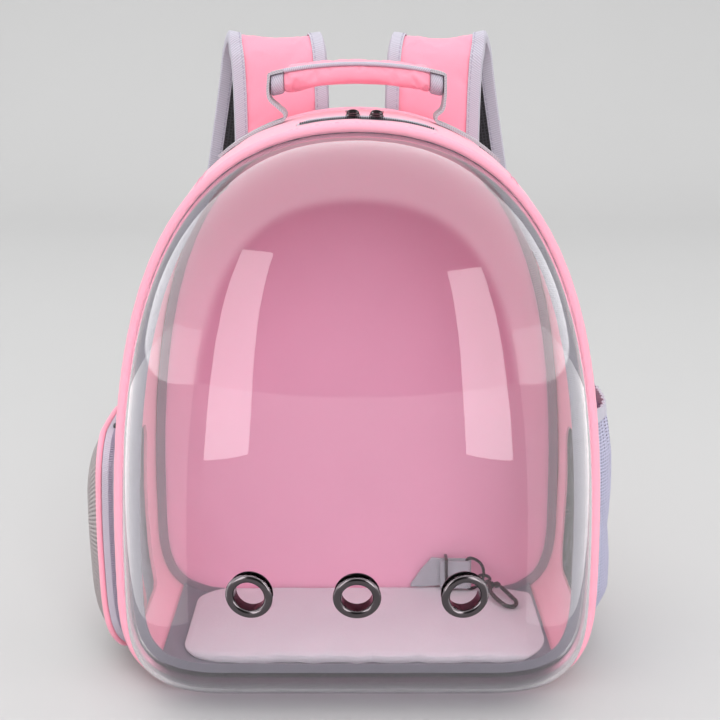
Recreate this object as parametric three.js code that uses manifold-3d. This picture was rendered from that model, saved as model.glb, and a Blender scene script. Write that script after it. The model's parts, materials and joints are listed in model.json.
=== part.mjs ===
// A pet carrier backpack: a soft shell on a flat base, with a clear domed window over its whole front.
// Millimetres, +Z up. The window faces -Y, the wearer's back is on the +Y side, +X is the viewer's right,
// and the origin is the centre of the flat base. Every piece is its own closed mesh with its own name.

import * as THREE from 'three';
import { mergeVertices } from 'three/addons/utils/BufferGeometryUtils.js';
import Module from 'manifold-3d';

const wasm = await Module();
wasm.setup();

// Shell: the outline seen from the front, and the depth of the side wall behind it
const BODY_HALF_WIDTH = 175;
const BODY_HEIGHT = 418;
const BODY_DEPTH = 152;
const BASE_FLAT_HALF = 100;
const WIDEST_HEIGHT = 90;
const CORNER_RUN = 1.05; // share of the stretch beside the flat base
const CORNER_DROP = 0.48; // share of the height of the widest place
const SHOULDER_RISE = 0.54; // share of the height above the widest place
const CROWN_SPREAD = 0.85; // share of the half width
const SIDE_PUFF = 3;
const PUFF_START = 40;
const PUFF_END = 130;
const WALL = 3;
const GAP = 0.3;
const FACET_ROOM = 0.6; // clearance of a finer solid that lies over the wall's coarse facets
const CUTTER_REACH = 15; // how far a cutter stands off the face that it opens

// Back panel, pipings and inner seam tapes
const PANEL_THICKNESS = 6;
const PANEL_CROWN = 4;
const PIPING_RADIUS = 3.2;
const PIPING_INSET = 1.6;
const TAPE_THICKNESS = 1.2;
const RIM_TAPE_WIDTH = 12;
const RIM_TAPE_TOP_WIDTH = 6;
const RIM_TAPE_NARROWING = { from: 0.82, to: 0.97 }; // shares of the height
const BACK_TAPE_WIDTH = 8;

// Clear dome, its flange and the three air holes with their eyelets
const DOME_DEPTH = 100;
const DOME_FULLNESS = 2.3; // exponent of its profile: 2 is an ellipse, more is squarer
const DOME_WALL = 2;
const DOME_CENTRE_HEIGHT = 188;
const FLANGE_INSET = 0.8;
const EYELET_SPACING = 71;
const EYELET_HEIGHT = 119;
const EYELET_RADIUS = 16;
const EYELET_BORE = 10.3;
const EYELET_BARREL = 12.2;
const EYELET_LIFT = 1.3;
const EYELET_ROLL = 2.2;
const EYELET_FLANGE = 1.6;
const EYELET_DEPTH = 3; // from the dome's inner face to the inner flange, which clears the dome's curve

// Floor board and mat
const BOARD_HALF_WIDTH = 150;
const BOARD_THICKNESS = 2.5;
const BOARD_FRONT_MARGIN = 8;
const MAT_HALF_WIDTH = 142;
const MAT_SHIFT = 6; // it has slid towards the right wall
const MAT_TOP = 14;
const MAT_FRONT_MARGIN = 19;
const MAT_CORNER = 26;

// Side door on the left, and the mesh pocket over the window on the right
const DOOR_LOW = 24;
const DOOR_HIGH = 188;
const DOOR_HALF_DEPTH = 54;
const DOOR_CENTRE_Y = -8;
const DOOR_CORNER = 28;
const DOOR_WALL_HEIGHT = 13;
const DOOR_WALL_THICKNESS = 2.5;
const DOOR_BULGE = 12;
const DOOR_MESH_FULLNESS = 5; // exponent of its swelling: more is flatter with a steeper edge
const DOOR_PIPING_RADIUS = 2.3;
const WINDOW_MARGIN = 12;
const WINDOW_CORNER = 22;
const MESH_THICKNESS = 1.2;
const MESH_CLEARANCE = 0.8;
const POCKET_TAPE_BEND = 14;
const POCKET_LOW = 26;
const POCKET_HIGH = 198;
const POCKET_HALF_DEPTH = 56;
const POCKET_CENTRE_Y = -4;
const POCKET_TAPE_WIDTH = 9;
const POCKET_HEM_HEIGHT = 10;
const POCKET_HEM_EXTRA = 0.6;
const POCKET_SECTIONS = [
  { share: 0.04, bulge: 0.1, spread: 0.74 },
  { share: 0.1, bulge: 0.62, spread: 0.95 },
  { share: 0.2, bulge: 1, spread: 1 },
  { share: 0.35, bulge: 0.9, spread: 1 },
  { share: 0.5, bulge: 0.7, spread: 1 },
  { share: 0.66, bulge: 0.8, spread: 1 },
  { share: 0.82, bulge: 0.82, spread: 1 },
  { share: 1, bulge: 0.62, spread: 1 },
];
const POCKET_BULGE = 20;

// Zip in the top, and the cable slit on the right shoulder
const ZIP_Y = -49;
const ZIP_HALF_LENGTH = 49;
const ZIP_HALF_WIDTH = 5;
const ZIP_SHIFT = 7;
const ZIP_TAPE_LIFT = 0.6;
const COIL_WIDTH = 2.6;
const COIL_HEIGHT = 1.3;
const COIL_END = 3;
const SLIDER_SHIFT = 5.2;
const SLIDER_SPACING = 8;
const SLIDER_LENGTH = 10;
const SLIDER_WIDTH = 7;
const SLIDER_HEIGHT = 2.8;
const BRIDGE_HALF = 2;
const PULL_LENGTH = 12;
const PULL_RIM = 1.2;
const PULL_SPLAY = 0.15; // radians off the depth
const PULL_THICKNESS = 1.6;
const DOOR_SLIDERS = { front: -0.34, rear: -0.12 }; // shares of the door's half depth
const SLIT_DROP = 71;
const SLIT_Y = -22;
const SLIT_LENGTH = 28;
const SLIT_WIDTH = 3.6;

// Carry handle
const HANDLE_Y = 10;
const GRIP_HALF_LENGTH = 53;
const GRIP_RISE = 30.5;
const GRIP_SAG = 5;
const GRIP_HALF_DEPTH = 12.5;
const GRIP_HALF_HEIGHT = 9.3;
const GRIP_PIPING_ANGLE = 142; // degrees, up from the back of the grip's section
const CUFF_FULLNESS = 1.08; // its section beside the grip's
const HANDLE_HALF_SPAN = 64;
const HANDLE_KNEES = { left: 54, right: 59 };
const HANDLE_FOOT_LENGTH = 52;
const HANDLE_WEB_WIDTH = 26;
const WEB_THICKNESS = 2;
const WEB_TURN = 3;
const GRIP_PIPING_RADIUS = 1.5;

// Shoulder straps: rows of shares along the padded part of the strap on the +X side
const STRAP_SPACING = 60;
const STRAP_WIDTH = 76;
const STRAP_THICKNESS = 8;
const STRAP_SKIN = 1.5;
const STRAP_SEAM_GAP = 1;
const STRAP_BINDING_WIDTH = 11;
const STRAP_BINDING_THICKNESS = 1.2;
const STRAP_PAD_BEVEL = 1;
const STRAP_FOOT_DROP = 78; // of the pads' upper seam below the top of the arch
const STRAP_END_INSET = 55; // of the pads' lower ends from the side of the body
const STRAP_REACH = 48;
const STRAP_RISE = 128;
const STRAP_DROP = 332;
const STRAP_UP = [
  { out: 0, back: -0.06, up: 0 },
  { out: 0, back: 0, up: 0.24 },
  { out: 0, back: 0, up: 0.5 },
  { out: 0.01, back: 0.02, up: 0.75 },
  { out: 0.04, back: 0.12, up: 0.93 },
];
const STRAP_DOWN = [
  { out: 0.1, back: 0.36, down: 0, width: 1 },
  { out: 0.18, back: 0.6, down: 0.03, width: 1 },
  { out: 0.25, back: 0.76, down: 0.1, width: 1 },
  { out: 0.35, back: 0.9, down: 0.2, width: 1 },
  { out: 0.52, back: 0.98, down: 0.36, width: 0.98 },
  { out: 0.7, back: 1, down: 0.54, width: 0.93 },
  { out: 0.84, back: 0.88, down: 0.72, width: 0.86 },
  { out: 0.94, back: 0.66, down: 0.87, width: 0.76 },
  { out: 1, back: 0.42, down: 1, width: 0.62 },
];
const STRAP_STEPS = 21;
const BUCKLE_START = 6;
const BUCKLE_WIDTH = 34;
const BUCKLE_LENGTH = 30;
const BUCKLE_THICKNESS = 3;
const BUCKLE_BAR = 4;
const BUCKLE_SIDE = 3;
const BUCKLE_SLOT_CORNER = 0.8;
const STRAP_WEB_WIDTH = 25;
const STRAP_WEB_THICKNESS = 1.6;
const STRAP_WEB_LAP = 26;
const TAB_HEIGHT = 34;
const TAB_THICKNESS = 2.4;
const TAB_HALF_BASE = 24;
const TAB_LOW = 14;
const TAB_SKEW = 4;
const TAB_MARGIN = 2;
const TAB_INSET = 59; // from the side of the body

// Safety leash on the floor mat: webbing on its edge, adjuster, ring and snap hook
const LEASH_WIDTH = 25;
const LEASH_THICKNESS = 1.6;
const LEASH_STAND_OFF = 8.2; // from the floor's back edge to the middle of its end loop
const LEASH_START = 46;
const LEASH_FAN = 18; // run in which it widens from its seam
const LEASH_BEHIND = 2;
const LEASH_END = 97;
const LEASH_TAIL = 5;
const LEASH_LOOP = 4.4;
const RING_DEPTH = 15;
const RING_WIRE = 1.3;
const RING_SECTIONS = [
  { out: 0, up: -0.8 },
  { out: 0, up: 0 },
  { out: 0, up: 0.8 },
  { out: 0.08, up: 0.96 },
  { out: 0.25, up: 1 },
  { out: 0.6, up: 0.85 },
  { out: 0.9, up: 0.5 },
  { out: 1, up: 0 },
  { out: 0.9, up: -0.5 },
  { out: 0.6, up: -0.85 },
  { out: 0.25, up: -1 },
  { out: 0.08, up: -0.96 },
];
const ADJUSTER_X = 76;
const ADJUSTER_BAR = 2.6;
const ADJUSTER_CORNER = 1.2;
const HOOK_LENGTH = 30;
const HOOK_HALF_WIDTH = 7;
const HOOK_WIRE = 1.8;
const HOOK_EYE_RADIUS = 5;
const HOOK_SHANK = 5;
const HOOK_OFFSET = { x: 0.4, y: -1.6, z: -4 }; // of its eye from the far end of the ring
const HOOK_BOW = [
  { along: -0.067, across: 0 },
  { along: 0.067, across: -0.55 },
  { along: 0.233, across: -0.95 },
  { along: 0.673, across: -1 },
  { along: 0.907, across: -0.75 },
  { along: 1, across: 0 },
  { along: 0.907, across: 0.75 },
  { along: 0.767, across: 1 },
];
const HOOK_TURN = -1.02;
const HOOK_DIP = 0.22;
const GATE_CLEARANCE = 0.8;
const SHOULDER_REACH = 2.2;
const SHOULDER_LAP = 3;

const FRONT_Y = -BODY_DEPTH / 2;
const BACK_Y = BODY_DEPTH / 2;

const PINK = { color: 0xf7a8c1, roughness: 0.85, metalness: 0 };
const GREY_TAPE = { color: 0x9a9aa4, roughness: 0.8, metalness: 0 };
const LILAC = { color: 0xc3c3dc, roughness: 0.75, metalness: 0 };
const LEAD_METAL = { color: 0x4a4446, roughness: 0.25, metalness: 1 };
const BLACK = { color: 0x16131a, roughness: 0.7, metalness: 0 };
const CLEAR = { color: 0xe8e4ee, roughness: 0.05, metalness: 0, transparent: true, opacity: 0.3 };

// Solids from sections

// Triangles of a flat or nearly flat polygon in space.
function capTriangles(points) {
  const normal = new THREE.Vector3();
  points.forEach((p, i) => {
    const q = points[(i + 1) % points.length];
    normal.add(new THREE.Vector3(
      (p.y - q.y) * (p.z + q.z),
      (p.z - q.z) * (p.x + q.x),
      (p.x - q.x) * (p.y + q.y),
    ));
  });
  normal.normalize();
  const side = Math.abs(normal.x) < 0.7 ? new THREE.Vector3(1, 0, 0) : new THREE.Vector3(0, 1, 0);
  const u = side.cross(normal).normalize();
  const v = normal.clone().cross(u);
  const flat = points.map((p) => new THREE.Vector2(p.dot(u), p.dot(v)));
  return THREE.ShapeUtils.triangulateShape(flat, []);
}

// Gives a geometry outward faces, whichever way round it was built.
function facingOut(geometry) {
  const p = geometry.getAttribute('position');
  const index = geometry.getIndex().array;
  const [a, b, c] = [new THREE.Vector3(), new THREE.Vector3(), new THREE.Vector3()];
  let volume = 0;
  for (let i = 0; i < index.length; i += 3) {
    a.fromBufferAttribute(p, index[i]);
    b.fromBufferAttribute(p, index[i + 1]);
    c.fromBufferAttribute(p, index[i + 2]);
    volume += a.dot(b.cross(c));
  }
  if (volume < 0) {
    for (let i = 0; i < index.length; i += 3) {
      [index[i], index[i + 1]] = [index[i + 1], index[i]];
    }
  }
  return geometry;
}

// A closed mesh through rings of equal point count: joined end to start, or closed by flat caps.
function loft(rings, endless = false) {
  const count = rings[0].length;
  const positions = rings.flat().flatMap((p) => [p.x, p.y, p.z]);
  const index = [];
  const last = endless ? rings.length : rings.length - 1;
  for (let r = 0; r < last; r++) {
    const near = r * count;
    const far = ((r + 1) % rings.length) * count;
    for (let i = 0; i < count; i++) {
      const j = (i + 1) % count;
      index.push(near + i, near + j, far + j, near + i, far + j, far + i);
    }
  }
  if (!endless) {
    const end = (rings.length - 1) * count;
    for (const [a, b, c] of capTriangles(rings[0])) index.push(a, c, b);
    for (const [a, b, c] of capTriangles(rings.at(-1))) index.push(end + a, end + b, end + c);
  }
  const geometry = new THREE.BufferGeometry();
  geometry.setAttribute('position', new THREE.Float32BufferAttribute(positions, 3));
  geometry.setIndex(index);
  return facingOut(geometry);
}

function toSolid(geometry) {
  const bare = geometry.clone();
  bare.deleteAttribute('normal');
  bare.deleteAttribute('uv');
  const merged = mergeVertices(bare, 1e-4);
  return new wasm.Manifold(new wasm.Mesh({
    numProp: 3,
    vertProperties: merged.getAttribute('position').array,
    triVerts: new Uint32Array(merged.getIndex().array),
  }));
}

function fromSolid(solid) {
  const mesh = solid.getMesh();
  const geometry = new THREE.BufferGeometry();
  geometry.setAttribute('position', new THREE.Float32BufferAttribute(mesh.vertProperties, 3));
  geometry.setIndex(new THREE.BufferAttribute(mesh.triVerts, 1));
  return geometry;
}

function cut(geometry, ...cutters) {
  return fromSolid(cutters.reduce((solid, c) => solid.subtract(toSolid(c)), toSolid(geometry)));
}

function join(geometry, ...others) {
  return fromSolid(others.reduce((solid, o) => solid.add(toSolid(o)), toSolid(geometry)));
}

// A box of the given size about a centre.
function boxAt(width, depth, height, x, y, z) {
  return new THREE.BoxGeometry(width, depth, height).translate(x, y, z);
}

// A flat shape in the XZ plane, extruded along Y from yLow to yHigh.
function extrudeAlongY(shape, yLow, yHigh) {
  const geometry = new THREE.ExtrudeGeometry(shape, { depth: yHigh - yLow, bevelEnabled: false });
  return geometry.rotateX(Math.PI / 2).translate(0, yHigh, 0);
}

// A flat shape in the XY plane, extruded up from zLow to zHigh.
function extrudeUp(shape, zLow, zHigh, curveSegments = 4) {
  const geometry = new THREE.ExtrudeGeometry(shape, {
    depth: zHigh - zLow,
    bevelEnabled: false,
    curveSegments,
  });
  return geometry.translate(0, 0, zLow);
}

function roundedRectangle(xLow, xHigh, yLow, yHigh, radius) {
  const shape = new THREE.Shape();
  shape.moveTo(xLow + radius, yLow);
  shape.lineTo(xHigh - radius, yLow);
  shape.absarc(xHigh - radius, yLow + radius, radius, -Math.PI / 2, 0);
  shape.lineTo(xHigh, yHigh - radius);
  shape.absarc(xHigh - radius, yHigh - radius, radius, 0, Math.PI / 2);
  shape.lineTo(xLow + radius, yHigh);
  shape.absarc(xLow + radius, yHigh - radius, radius, Math.PI / 2, Math.PI);
  shape.lineTo(xLow, yLow + radius);
  shape.absarc(xLow + radius, yLow + radius, radius, Math.PI, 1.5 * Math.PI);
  return shape;
}

// A strip of even thickness along a line of points in a plane.
function stripShape(points, thickness) {
  const offset = (sign) => points.map((p, i) => {
    const before = points[Math.max(i - 1, 0)];
    const after = points[Math.min(i + 1, points.length - 1)];
    const way = after.clone().sub(before).normalize();
    return new THREE.Vector2(p.x - sign * way.y * thickness / 2, p.y + sign * way.x * thickness / 2);
  });
  return new THREE.Shape([...offset(1), ...offset(-1).reverse()]);
}

// A tube of flat sides along a smooth curve, closed on itself or capped.
function tubeAlong(curve, radius, steps, sides, closed = false) {
  const frames = curve.computeFrenetFrames(steps, closed);
  const rings = [];
  for (let i = 0; i < (closed ? steps : steps + 1); i++) {
    const centre = curve.getPointAt(i / steps);
    rings.push(Array.from({ length: sides }, (_, k) => {
      const a = (2 * Math.PI * k) / sides;
      return centre.clone()
        .addScaledVector(frames.normals[i], radius * Math.cos(a))
        .addScaledVector(frames.binormals[i], radius * Math.sin(a));
    }));
  }
  return loft(rings, closed);
}

// Outline of the shell

// The right half of the outline, from the middle of the base to the top.
function makeHalfOutline() {
  const path = new THREE.Path();
  const above = BODY_HEIGHT - WIDEST_HEIGHT;
  path.moveTo(0, 0);
  path.lineTo(BASE_FLAT_HALF, 0);
  path.bezierCurveTo(
    BASE_FLAT_HALF + CORNER_RUN * (BODY_HALF_WIDTH - BASE_FLAT_HALF), 0,
    BODY_HALF_WIDTH, WIDEST_HEIGHT * (1 - CORNER_DROP),
    BODY_HALF_WIDTH, WIDEST_HEIGHT,
  );
  path.bezierCurveTo(
    BODY_HALF_WIDTH, WIDEST_HEIGHT + SHOULDER_RISE * above,
    CROWN_SPREAD * BODY_HALF_WIDTH, BODY_HEIGHT,
    0, BODY_HEIGHT,
  );
  path.arcLengthDivisions = 600;
  return path;
}

const halfOutline = makeHalfOutline();
const [BASE_LENGTH, CORNER_LENGTH, SIDE_LENGTH] = halfOutline.curves.map((c) => c.getLength());
const HALF_LENGTH = BASE_LENGTH + CORNER_LENGTH + SIDE_LENGTH;

// The place a given length along the half outline, on the side +1 or -1, moved outwards by out.
function outlineAt(side, length, out = 0) {
  const share = THREE.MathUtils.clamp(length / HALF_LENGTH, 0, 1);
  const point = halfOutline.getPointAt(share);
  const way = share === 0 || share === 1
    ? new THREE.Vector2(share === 0 ? 1 : -1, 0)
    : halfOutline.getTangentAt(share);
  return new THREE.Vector2(side * (point.x + out * way.y), point.y - out * way.x);
}

// How far the padded side wall swells at a height and depth.
function puff(height, y) {
  const rise = THREE.MathUtils.smoothstep(height, PUFF_START, PUFF_END);
  return SIDE_PUFF * rise * Math.max(0, 1 - (y / BACK_Y) ** 2);
}

// A point on the side wall, out millimetres off its outer face.
function wallPoint(side, length, y, out) {
  const height = outlineAt(side, length).y;
  const p = outlineAt(side, length, out + puff(height, y));
  return new THREE.Vector3(p.x, y, p.y);
}

// The same, by the distance from the top of the arch, positive towards +X.
function crownPoint(distance, y, out) {
  return wallPoint(distance < 0 ? -1 : 1, HALF_LENGTH - Math.abs(distance), y, out);
}

function lengthAtHeight(height) {
  let low = BASE_LENGTH;
  let high = HALF_LENGTH;
  for (let i = 0; i < 40; i++) {
    const middle = (low + high) / 2;
    if (outlineAt(1, middle).y < height) low = middle;
    else high = middle;
  }
  return low;
}

const CORNER_STEPS = 8;
const SIDE_STEPS = 17;

// The stations that every ring round the shell shares, so that neighbours have the same facets.
function ringStations() {
  const lengths = [0];
  for (let i = 0; i < CORNER_STEPS; i++) lengths.push(BASE_LENGTH + (CORNER_LENGTH * i) / CORNER_STEPS);
  for (let i = 0; i <= SIDE_STEPS; i++) {
    lengths.push(BASE_LENGTH + CORNER_LENGTH + (SIDE_LENGTH * i) / SIDE_STEPS);
  }
  const right = lengths.map((length) => ({ side: 1, length }));
  const left = lengths.slice(1, -1).reverse().map((length) => ({ side: -1, length }));
  return [...right, ...left];
}

const STATIONS = ringStations();

// A solid with the same section all the way round the shell. A section point is {out, y}.
function ringSolid(sectionAt) {
  return loft(STATIONS.map(({ side, length }) =>
    sectionAt(length).map(({ out, y }) => wallPoint(side, length, y, out))), true);
}

// A flat polygon of the outline, inset, as a shape in the XZ plane.
function outlineShape(inset) {
  return new THREE.Shape(STATIONS.map(({ side, length }) => outlineAt(side, length, -inset)));
}

// Patches on the side wall: u runs up the wall, v along the depth

// The places of a rounded patch, grown by grow all round.
function patchPath(patch, grow, count) {
  const halfU = (patch.high - patch.low) / 2 + grow;
  const halfV = patch.halfDepth + grow;
  const radius = Math.max(patch.corner + grow, 1);
  const shape = roundedRectangle(-halfU, halfU, -halfV, halfV, radius);
  return shape.getSpacedPoints(count).slice(0, count);
}

function patchPoint(patch, u, v, out) {
  return wallPoint(patch.side, (patch.low + patch.high) / 2 + u, patch.centreY + v, out);
}

// A solid that follows the edge of a patch. A section point is {grow, out}.
function patchRim(patch, section, count) {
  const paths = section.map(({ grow }) => patchPath(patch, grow, count));
  const rings = Array.from({ length: count }, (_, i) =>
    section.map(({ out }, k) => patchPoint(patch, paths[k][i].x, paths[k][i].y, out)));
  return loft(rings, true);
}

// A sheet that fills a patch and swells by bulge in its middle.
function patchSheet(patch, grow, low, thickness, bulge, fullness, shares, count) {
  const path = patchPath(patch, grow, count);
  const ring = (share, out) => path.map((p) =>
    patchPoint(patch, p.x * share, p.y * share, out + bulge * (1 - share ** fullness)));
  const inner = shares.map((share) => ring(share, low));
  const outer = shares.toReversed().map((share) => ring(share, low + thickness));
  return loft([...inner, ...outer]);
}

// A closed plug through the wall in the shape of a patch, for cutting it open.
function patchCutter(patch, grow, count) {
  const path = patchPath(patch, grow, count);
  return loft([-3 * WALL, 3 * WALL].map((out) => path.map((p) => patchPoint(patch, p.x, p.y, out))));
}

const DOOR = {
  side: -1,
  low: lengthAtHeight(DOOR_LOW),
  high: lengthAtHeight(DOOR_HIGH),
  halfDepth: DOOR_HALF_DEPTH,
  centreY: DOOR_CENTRE_Y,
  corner: DOOR_CORNER,
};
const POCKET_WINDOW = {
  side: 1,
  low: lengthAtHeight(POCKET_LOW) + 2 * WINDOW_MARGIN,
  high: lengthAtHeight(POCKET_HIGH) - 2 * WINDOW_MARGIN,
  halfDepth: POCKET_HALF_DEPTH - WINDOW_MARGIN,
  centreY: POCKET_CENTRE_Y,
  corner: WINDOW_CORNER,
};
const PATCH_COUNT = 32;

// Shell

// The zip's slot and the slit are boxes that follow the arch.
function crownStrip(from, to, y, halfWidth, outLow, outHigh, steps) {
  const rings = Array.from({ length: steps + 1 }, (_, i) => {
    const d = from + ((to - from) * i) / steps;
    return [
      crownPoint(d, y - halfWidth, outLow),
      crownPoint(d, y + halfWidth, outLow),
      crownPoint(d, y + halfWidth, outHigh),
      crownPoint(d, y - halfWidth, outHigh),
    ];
  });
  return loft(rings);
}

const ZIP_FROM = ZIP_SHIFT - ZIP_HALF_LENGTH;
const ZIP_TO = ZIP_SHIFT + ZIP_HALF_LENGTH;
const ZIP_STEPS = 8;

function makeGusset() {
  const ys = [FRONT_Y, FRONT_Y / 2, 0, BACK_Y / 2, BACK_Y];
  const outer = ys.map((y) => ({ out: 0, y }));
  const inner = ys.toReversed().map((y) => ({ out: -WALL, y }));
  const tube = ringSolid(() => [...outer, ...inner]);
  const zipSlot = crownStrip(
    ZIP_FROM, ZIP_TO, ZIP_Y, ZIP_HALF_WIDTH + GAP, -3 * WALL, 3 * WALL, ZIP_STEPS,
  );
  const slitMiddle = HALF_LENGTH - lengthAtHeight(BODY_HEIGHT - SLIT_DROP);
  const slit = crownStrip(
    slitMiddle - SLIT_LENGTH / 2, slitMiddle + SLIT_LENGTH / 2, SLIT_Y, SLIT_WIDTH / 2,
    -3 * WALL, 3 * WALL, 2,
  );
  return cut(
    tube,
    patchCutter(DOOR, -WINDOW_MARGIN, PATCH_COUNT),
    patchCutter(POCKET_WINDOW, 0, PATCH_COUNT),
    zipSlot,
    slit,
  );
}

// The panel's places are shares of the way from its centre to its edge.
function panelRing(share, y) {
  const centre = new THREE.Vector2(0, DOME_CENTRE_HEIGHT);
  return STATIONS.map(({ side, length }) => {
    const p = outlineAt(side, length, -WALL - GAP).lerp(centre, 1 - share);
    return new THREE.Vector3(p.x, y, p.y);
  });
}

function makeBackPanel() {
  return loft([
    panelRing(0.15, BACK_Y - PANEL_THICKNESS),
    panelRing(1, BACK_Y - PANEL_THICKNESS),
    panelRing(1, BACK_Y),
    panelRing(0.93, BACK_Y + 0.6 * PANEL_CROWN),
    panelRing(0.86, BACK_Y + PANEL_CROWN),
    panelRing(0.15, BACK_Y + PANEL_CROWN),
  ]);
}

// How far the pipings' middle lies inside the outline. On the base it lifts them clear of the floor.
function pipingInset(length) {
  const { y } = outlineAt(1, length);
  return THREE.MathUtils.lerp(PIPING_RADIUS, PIPING_INSET, THREE.MathUtils.smoothstep(y, 0, WIDEST_HEIGHT));
}

// A piping round the shell, beside the wall's edge at edgeY and outside it.
function makePiping(edgeY, way) {
  const sides = 6;
  const middle = edgeY + way * (PIPING_RADIUS + GAP);
  return loft(STATIONS.map(({ side, length }) => Array.from({ length: sides }, (_, k) => {
    const a = (2 * Math.PI * k) / sides;
    const p = outlineAt(side, length, PIPING_RADIUS * Math.cos(a) - pipingInset(length));
    return new THREE.Vector3(p.x, middle + PIPING_RADIUS * Math.sin(a), p.y);
  })), true);
}

// Seam tapes stand in a plane across the bag: on the rim behind the dome's flange, and on the back seam.
function makeSeamTape(y, widthAt) {
  return loft(STATIONS.map(({ side, length }) => {
    const inset = WALL + GAP;
    const width = widthAt(outlineAt(1, length).y);
    return [[inset, 0], [inset, 1], [inset + width, 1], [inset + width, 0]].map(([deep, far]) => {
      const p = outlineAt(side, length, -deep);
      return new THREE.Vector3(p.x, y + far * TAPE_THICKNESS, p.y);
    });
  }), true);
}

function rimTapeWidth(height) {
  const { from, to } = RIM_TAPE_NARROWING;
  const top = THREE.MathUtils.smoothstep(height, from * BODY_HEIGHT, to * BODY_HEIGHT);
  return THREE.MathUtils.lerp(RIM_TAPE_WIDTH, RIM_TAPE_TOP_WIDTH, top);
}

// Dome

const FLANGE_FRONT = FRONT_Y - GAP - DOME_WALL;
const DOME_ANGLES = [80, 62, 46, 30, 16, 6, 0];

// How far the dome's foot lies inside the outline: just inside the piping.
function domeInset(length) {
  return pipingInset(length) + PIPING_RADIUS + GAP;
}

// A ring of the dome at an angle up its profile: 0 at the rim, 90 at the front.
function domeRing(degrees, insetAt, rimY) {
  const angle = THREE.MathUtils.degToRad(degrees);
  const reach = Math.cos(angle) ** (2 / DOME_FULLNESS);
  const depth = DOME_DEPTH * Math.sin(angle) ** (2 / DOME_FULLNESS);
  const centre = new THREE.Vector2(0, DOME_CENTRE_HEIGHT);
  return STATIONS.map(({ side, length }) => {
    const p = outlineAt(side, length, -insetAt(length)).lerp(centre, 1 - reach);
    return new THREE.Vector3(p.x, rimY - depth, p.y);
  });
}

// The dome's outer face above a point of the rim plane.
function domePoint(x, z) {
  const way = new THREE.Vector2(x, z - DOME_CENTRE_HEIGHT);
  const reach = way.length();
  const samples = 400;
  let best = { miss: Infinity, distance: 1 };
  for (let i = 0; i <= samples; i++) {
    const length = (HALF_LENGTH * i) / samples;
    const p = outlineAt(x < 0 ? -1 : 1, length, -domeInset(length));
    p.y -= DOME_CENTRE_HEIGHT;
    const miss = Math.abs(p.cross(way)) / (p.length() * reach) + (p.dot(way) < 0 ? 1 : 0);
    if (miss < best.miss) best = { miss, distance: p.length() };
  }
  const share = Math.min(reach / best.distance, 1);
  const depth = DOME_DEPTH * (1 - share ** DOME_FULLNESS) ** (1 / DOME_FULLNESS);
  return new THREE.Vector3(x, FLANGE_FRONT - depth, z);
}

// Where an eyelet sits, turned so that its own Z points out of the dome.
function eyeletPlace(x) {
  const step = 4;
  const middle = domePoint(x, EYELET_HEIGHT);
  const across = domePoint(x + step, EYELET_HEIGHT).sub(domePoint(x - step, EYELET_HEIGHT));
  const up = domePoint(x, EYELET_HEIGHT + step).sub(domePoint(x, EYELET_HEIGHT - step));
  const normal = across.clone().cross(up).normalize();
  const turn = new THREE.Quaternion().setFromUnitVectors(new THREE.Vector3(0, 0, 1), normal);
  return new THREE.Matrix4().compose(middle, turn, new THREE.Vector3(1, 1, 1));
}

const EYELET_SIDES = 16;
const EYELETS = [
  { name: 'eyelet_left', x: -EYELET_SPACING },
  { name: 'eyelet_middle', x: 0 },
  { name: 'eyelet_right', x: EYELET_SPACING },
];

function makeEyelet() {
  const back = -DOME_WALL - EYELET_DEPTH;
  const profile = [
    [EYELET_BORE, back - EYELET_FLANGE],
    [EYELET_BORE, EYELET_LIFT],
    [EYELET_BORE + 0.7 * EYELET_ROLL, EYELET_LIFT + EYELET_ROLL],
    [EYELET_RADIUS - 0.9 * EYELET_ROLL, EYELET_LIFT + EYELET_ROLL],
    [EYELET_RADIUS, EYELET_LIFT + 0.2 * EYELET_ROLL],
    [EYELET_RADIUS - 0.1 * EYELET_ROLL, EYELET_LIFT],
    [EYELET_BARREL, EYELET_LIFT],
    [EYELET_BARREL, back],
    [EYELET_RADIUS - 0.6 * EYELET_FLANGE, back],
    [EYELET_RADIUS - 0.9 * EYELET_FLANGE, back - EYELET_FLANGE],
  ].map(([r, h]) => new THREE.Vector2(r, h));
  const ring = new THREE.LatheGeometry([...profile, profile[0]], EYELET_SIDES);
  return facingOut(ring.rotateX(Math.PI / 2));
}

function makeDome() {
  const outer = DOME_ANGLES.map((a) => domeRing(a, domeInset, FLANGE_FRONT));
  const flange = [
    domeRing(0, () => FLANGE_INSET, FLANGE_FRONT),
    domeRing(0, () => FLANGE_INSET, FLANGE_FRONT + DOME_WALL),
  ];
  const inner = DOME_ANGLES.toReversed().map((a) =>
    domeRing(a, (length) => domeInset(length) + DOME_WALL, FLANGE_FRONT + DOME_WALL));
  const holes = EYELETS.map(({ x }) =>
    new THREE.CylinderGeometry(EYELET_BARREL + GAP, EYELET_BARREL + GAP, 2 * CUTTER_REACH, EYELET_SIDES)
      .rotateX(Math.PI / 2).applyMatrix4(eyeletPlace(x)));
  return cut(loft([...outer, ...flange, ...inner]), ...holes);
}

// Floor

function insidePrism(inset, yLow, yHigh) {
  return toSolid(extrudeAlongY(outlineShape(inset), yLow, yHigh));
}

const FLOOR_BACK = BACK_Y - PANEL_THICKNESS - TAPE_THICKNESS - 2 * GAP;

function makeBoard() {
  const blank = toSolid(extrudeUp(roundedRectangle(
    -BOARD_HALF_WIDTH, BOARD_HALF_WIDTH, FRONT_Y + BOARD_FRONT_MARGIN, FLOOR_BACK, MAT_CORNER,
  ), 0, MAT_TOP + BOARD_THICKNESS));
  const under = insidePrism(WALL + GAP, FRONT_Y, BACK_Y);
  const over = insidePrism(WALL + GAP + BOARD_THICKNESS, FRONT_Y - 1, BACK_Y + 1);
  return fromSolid(blank.intersect(under).subtract(over));
}

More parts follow.
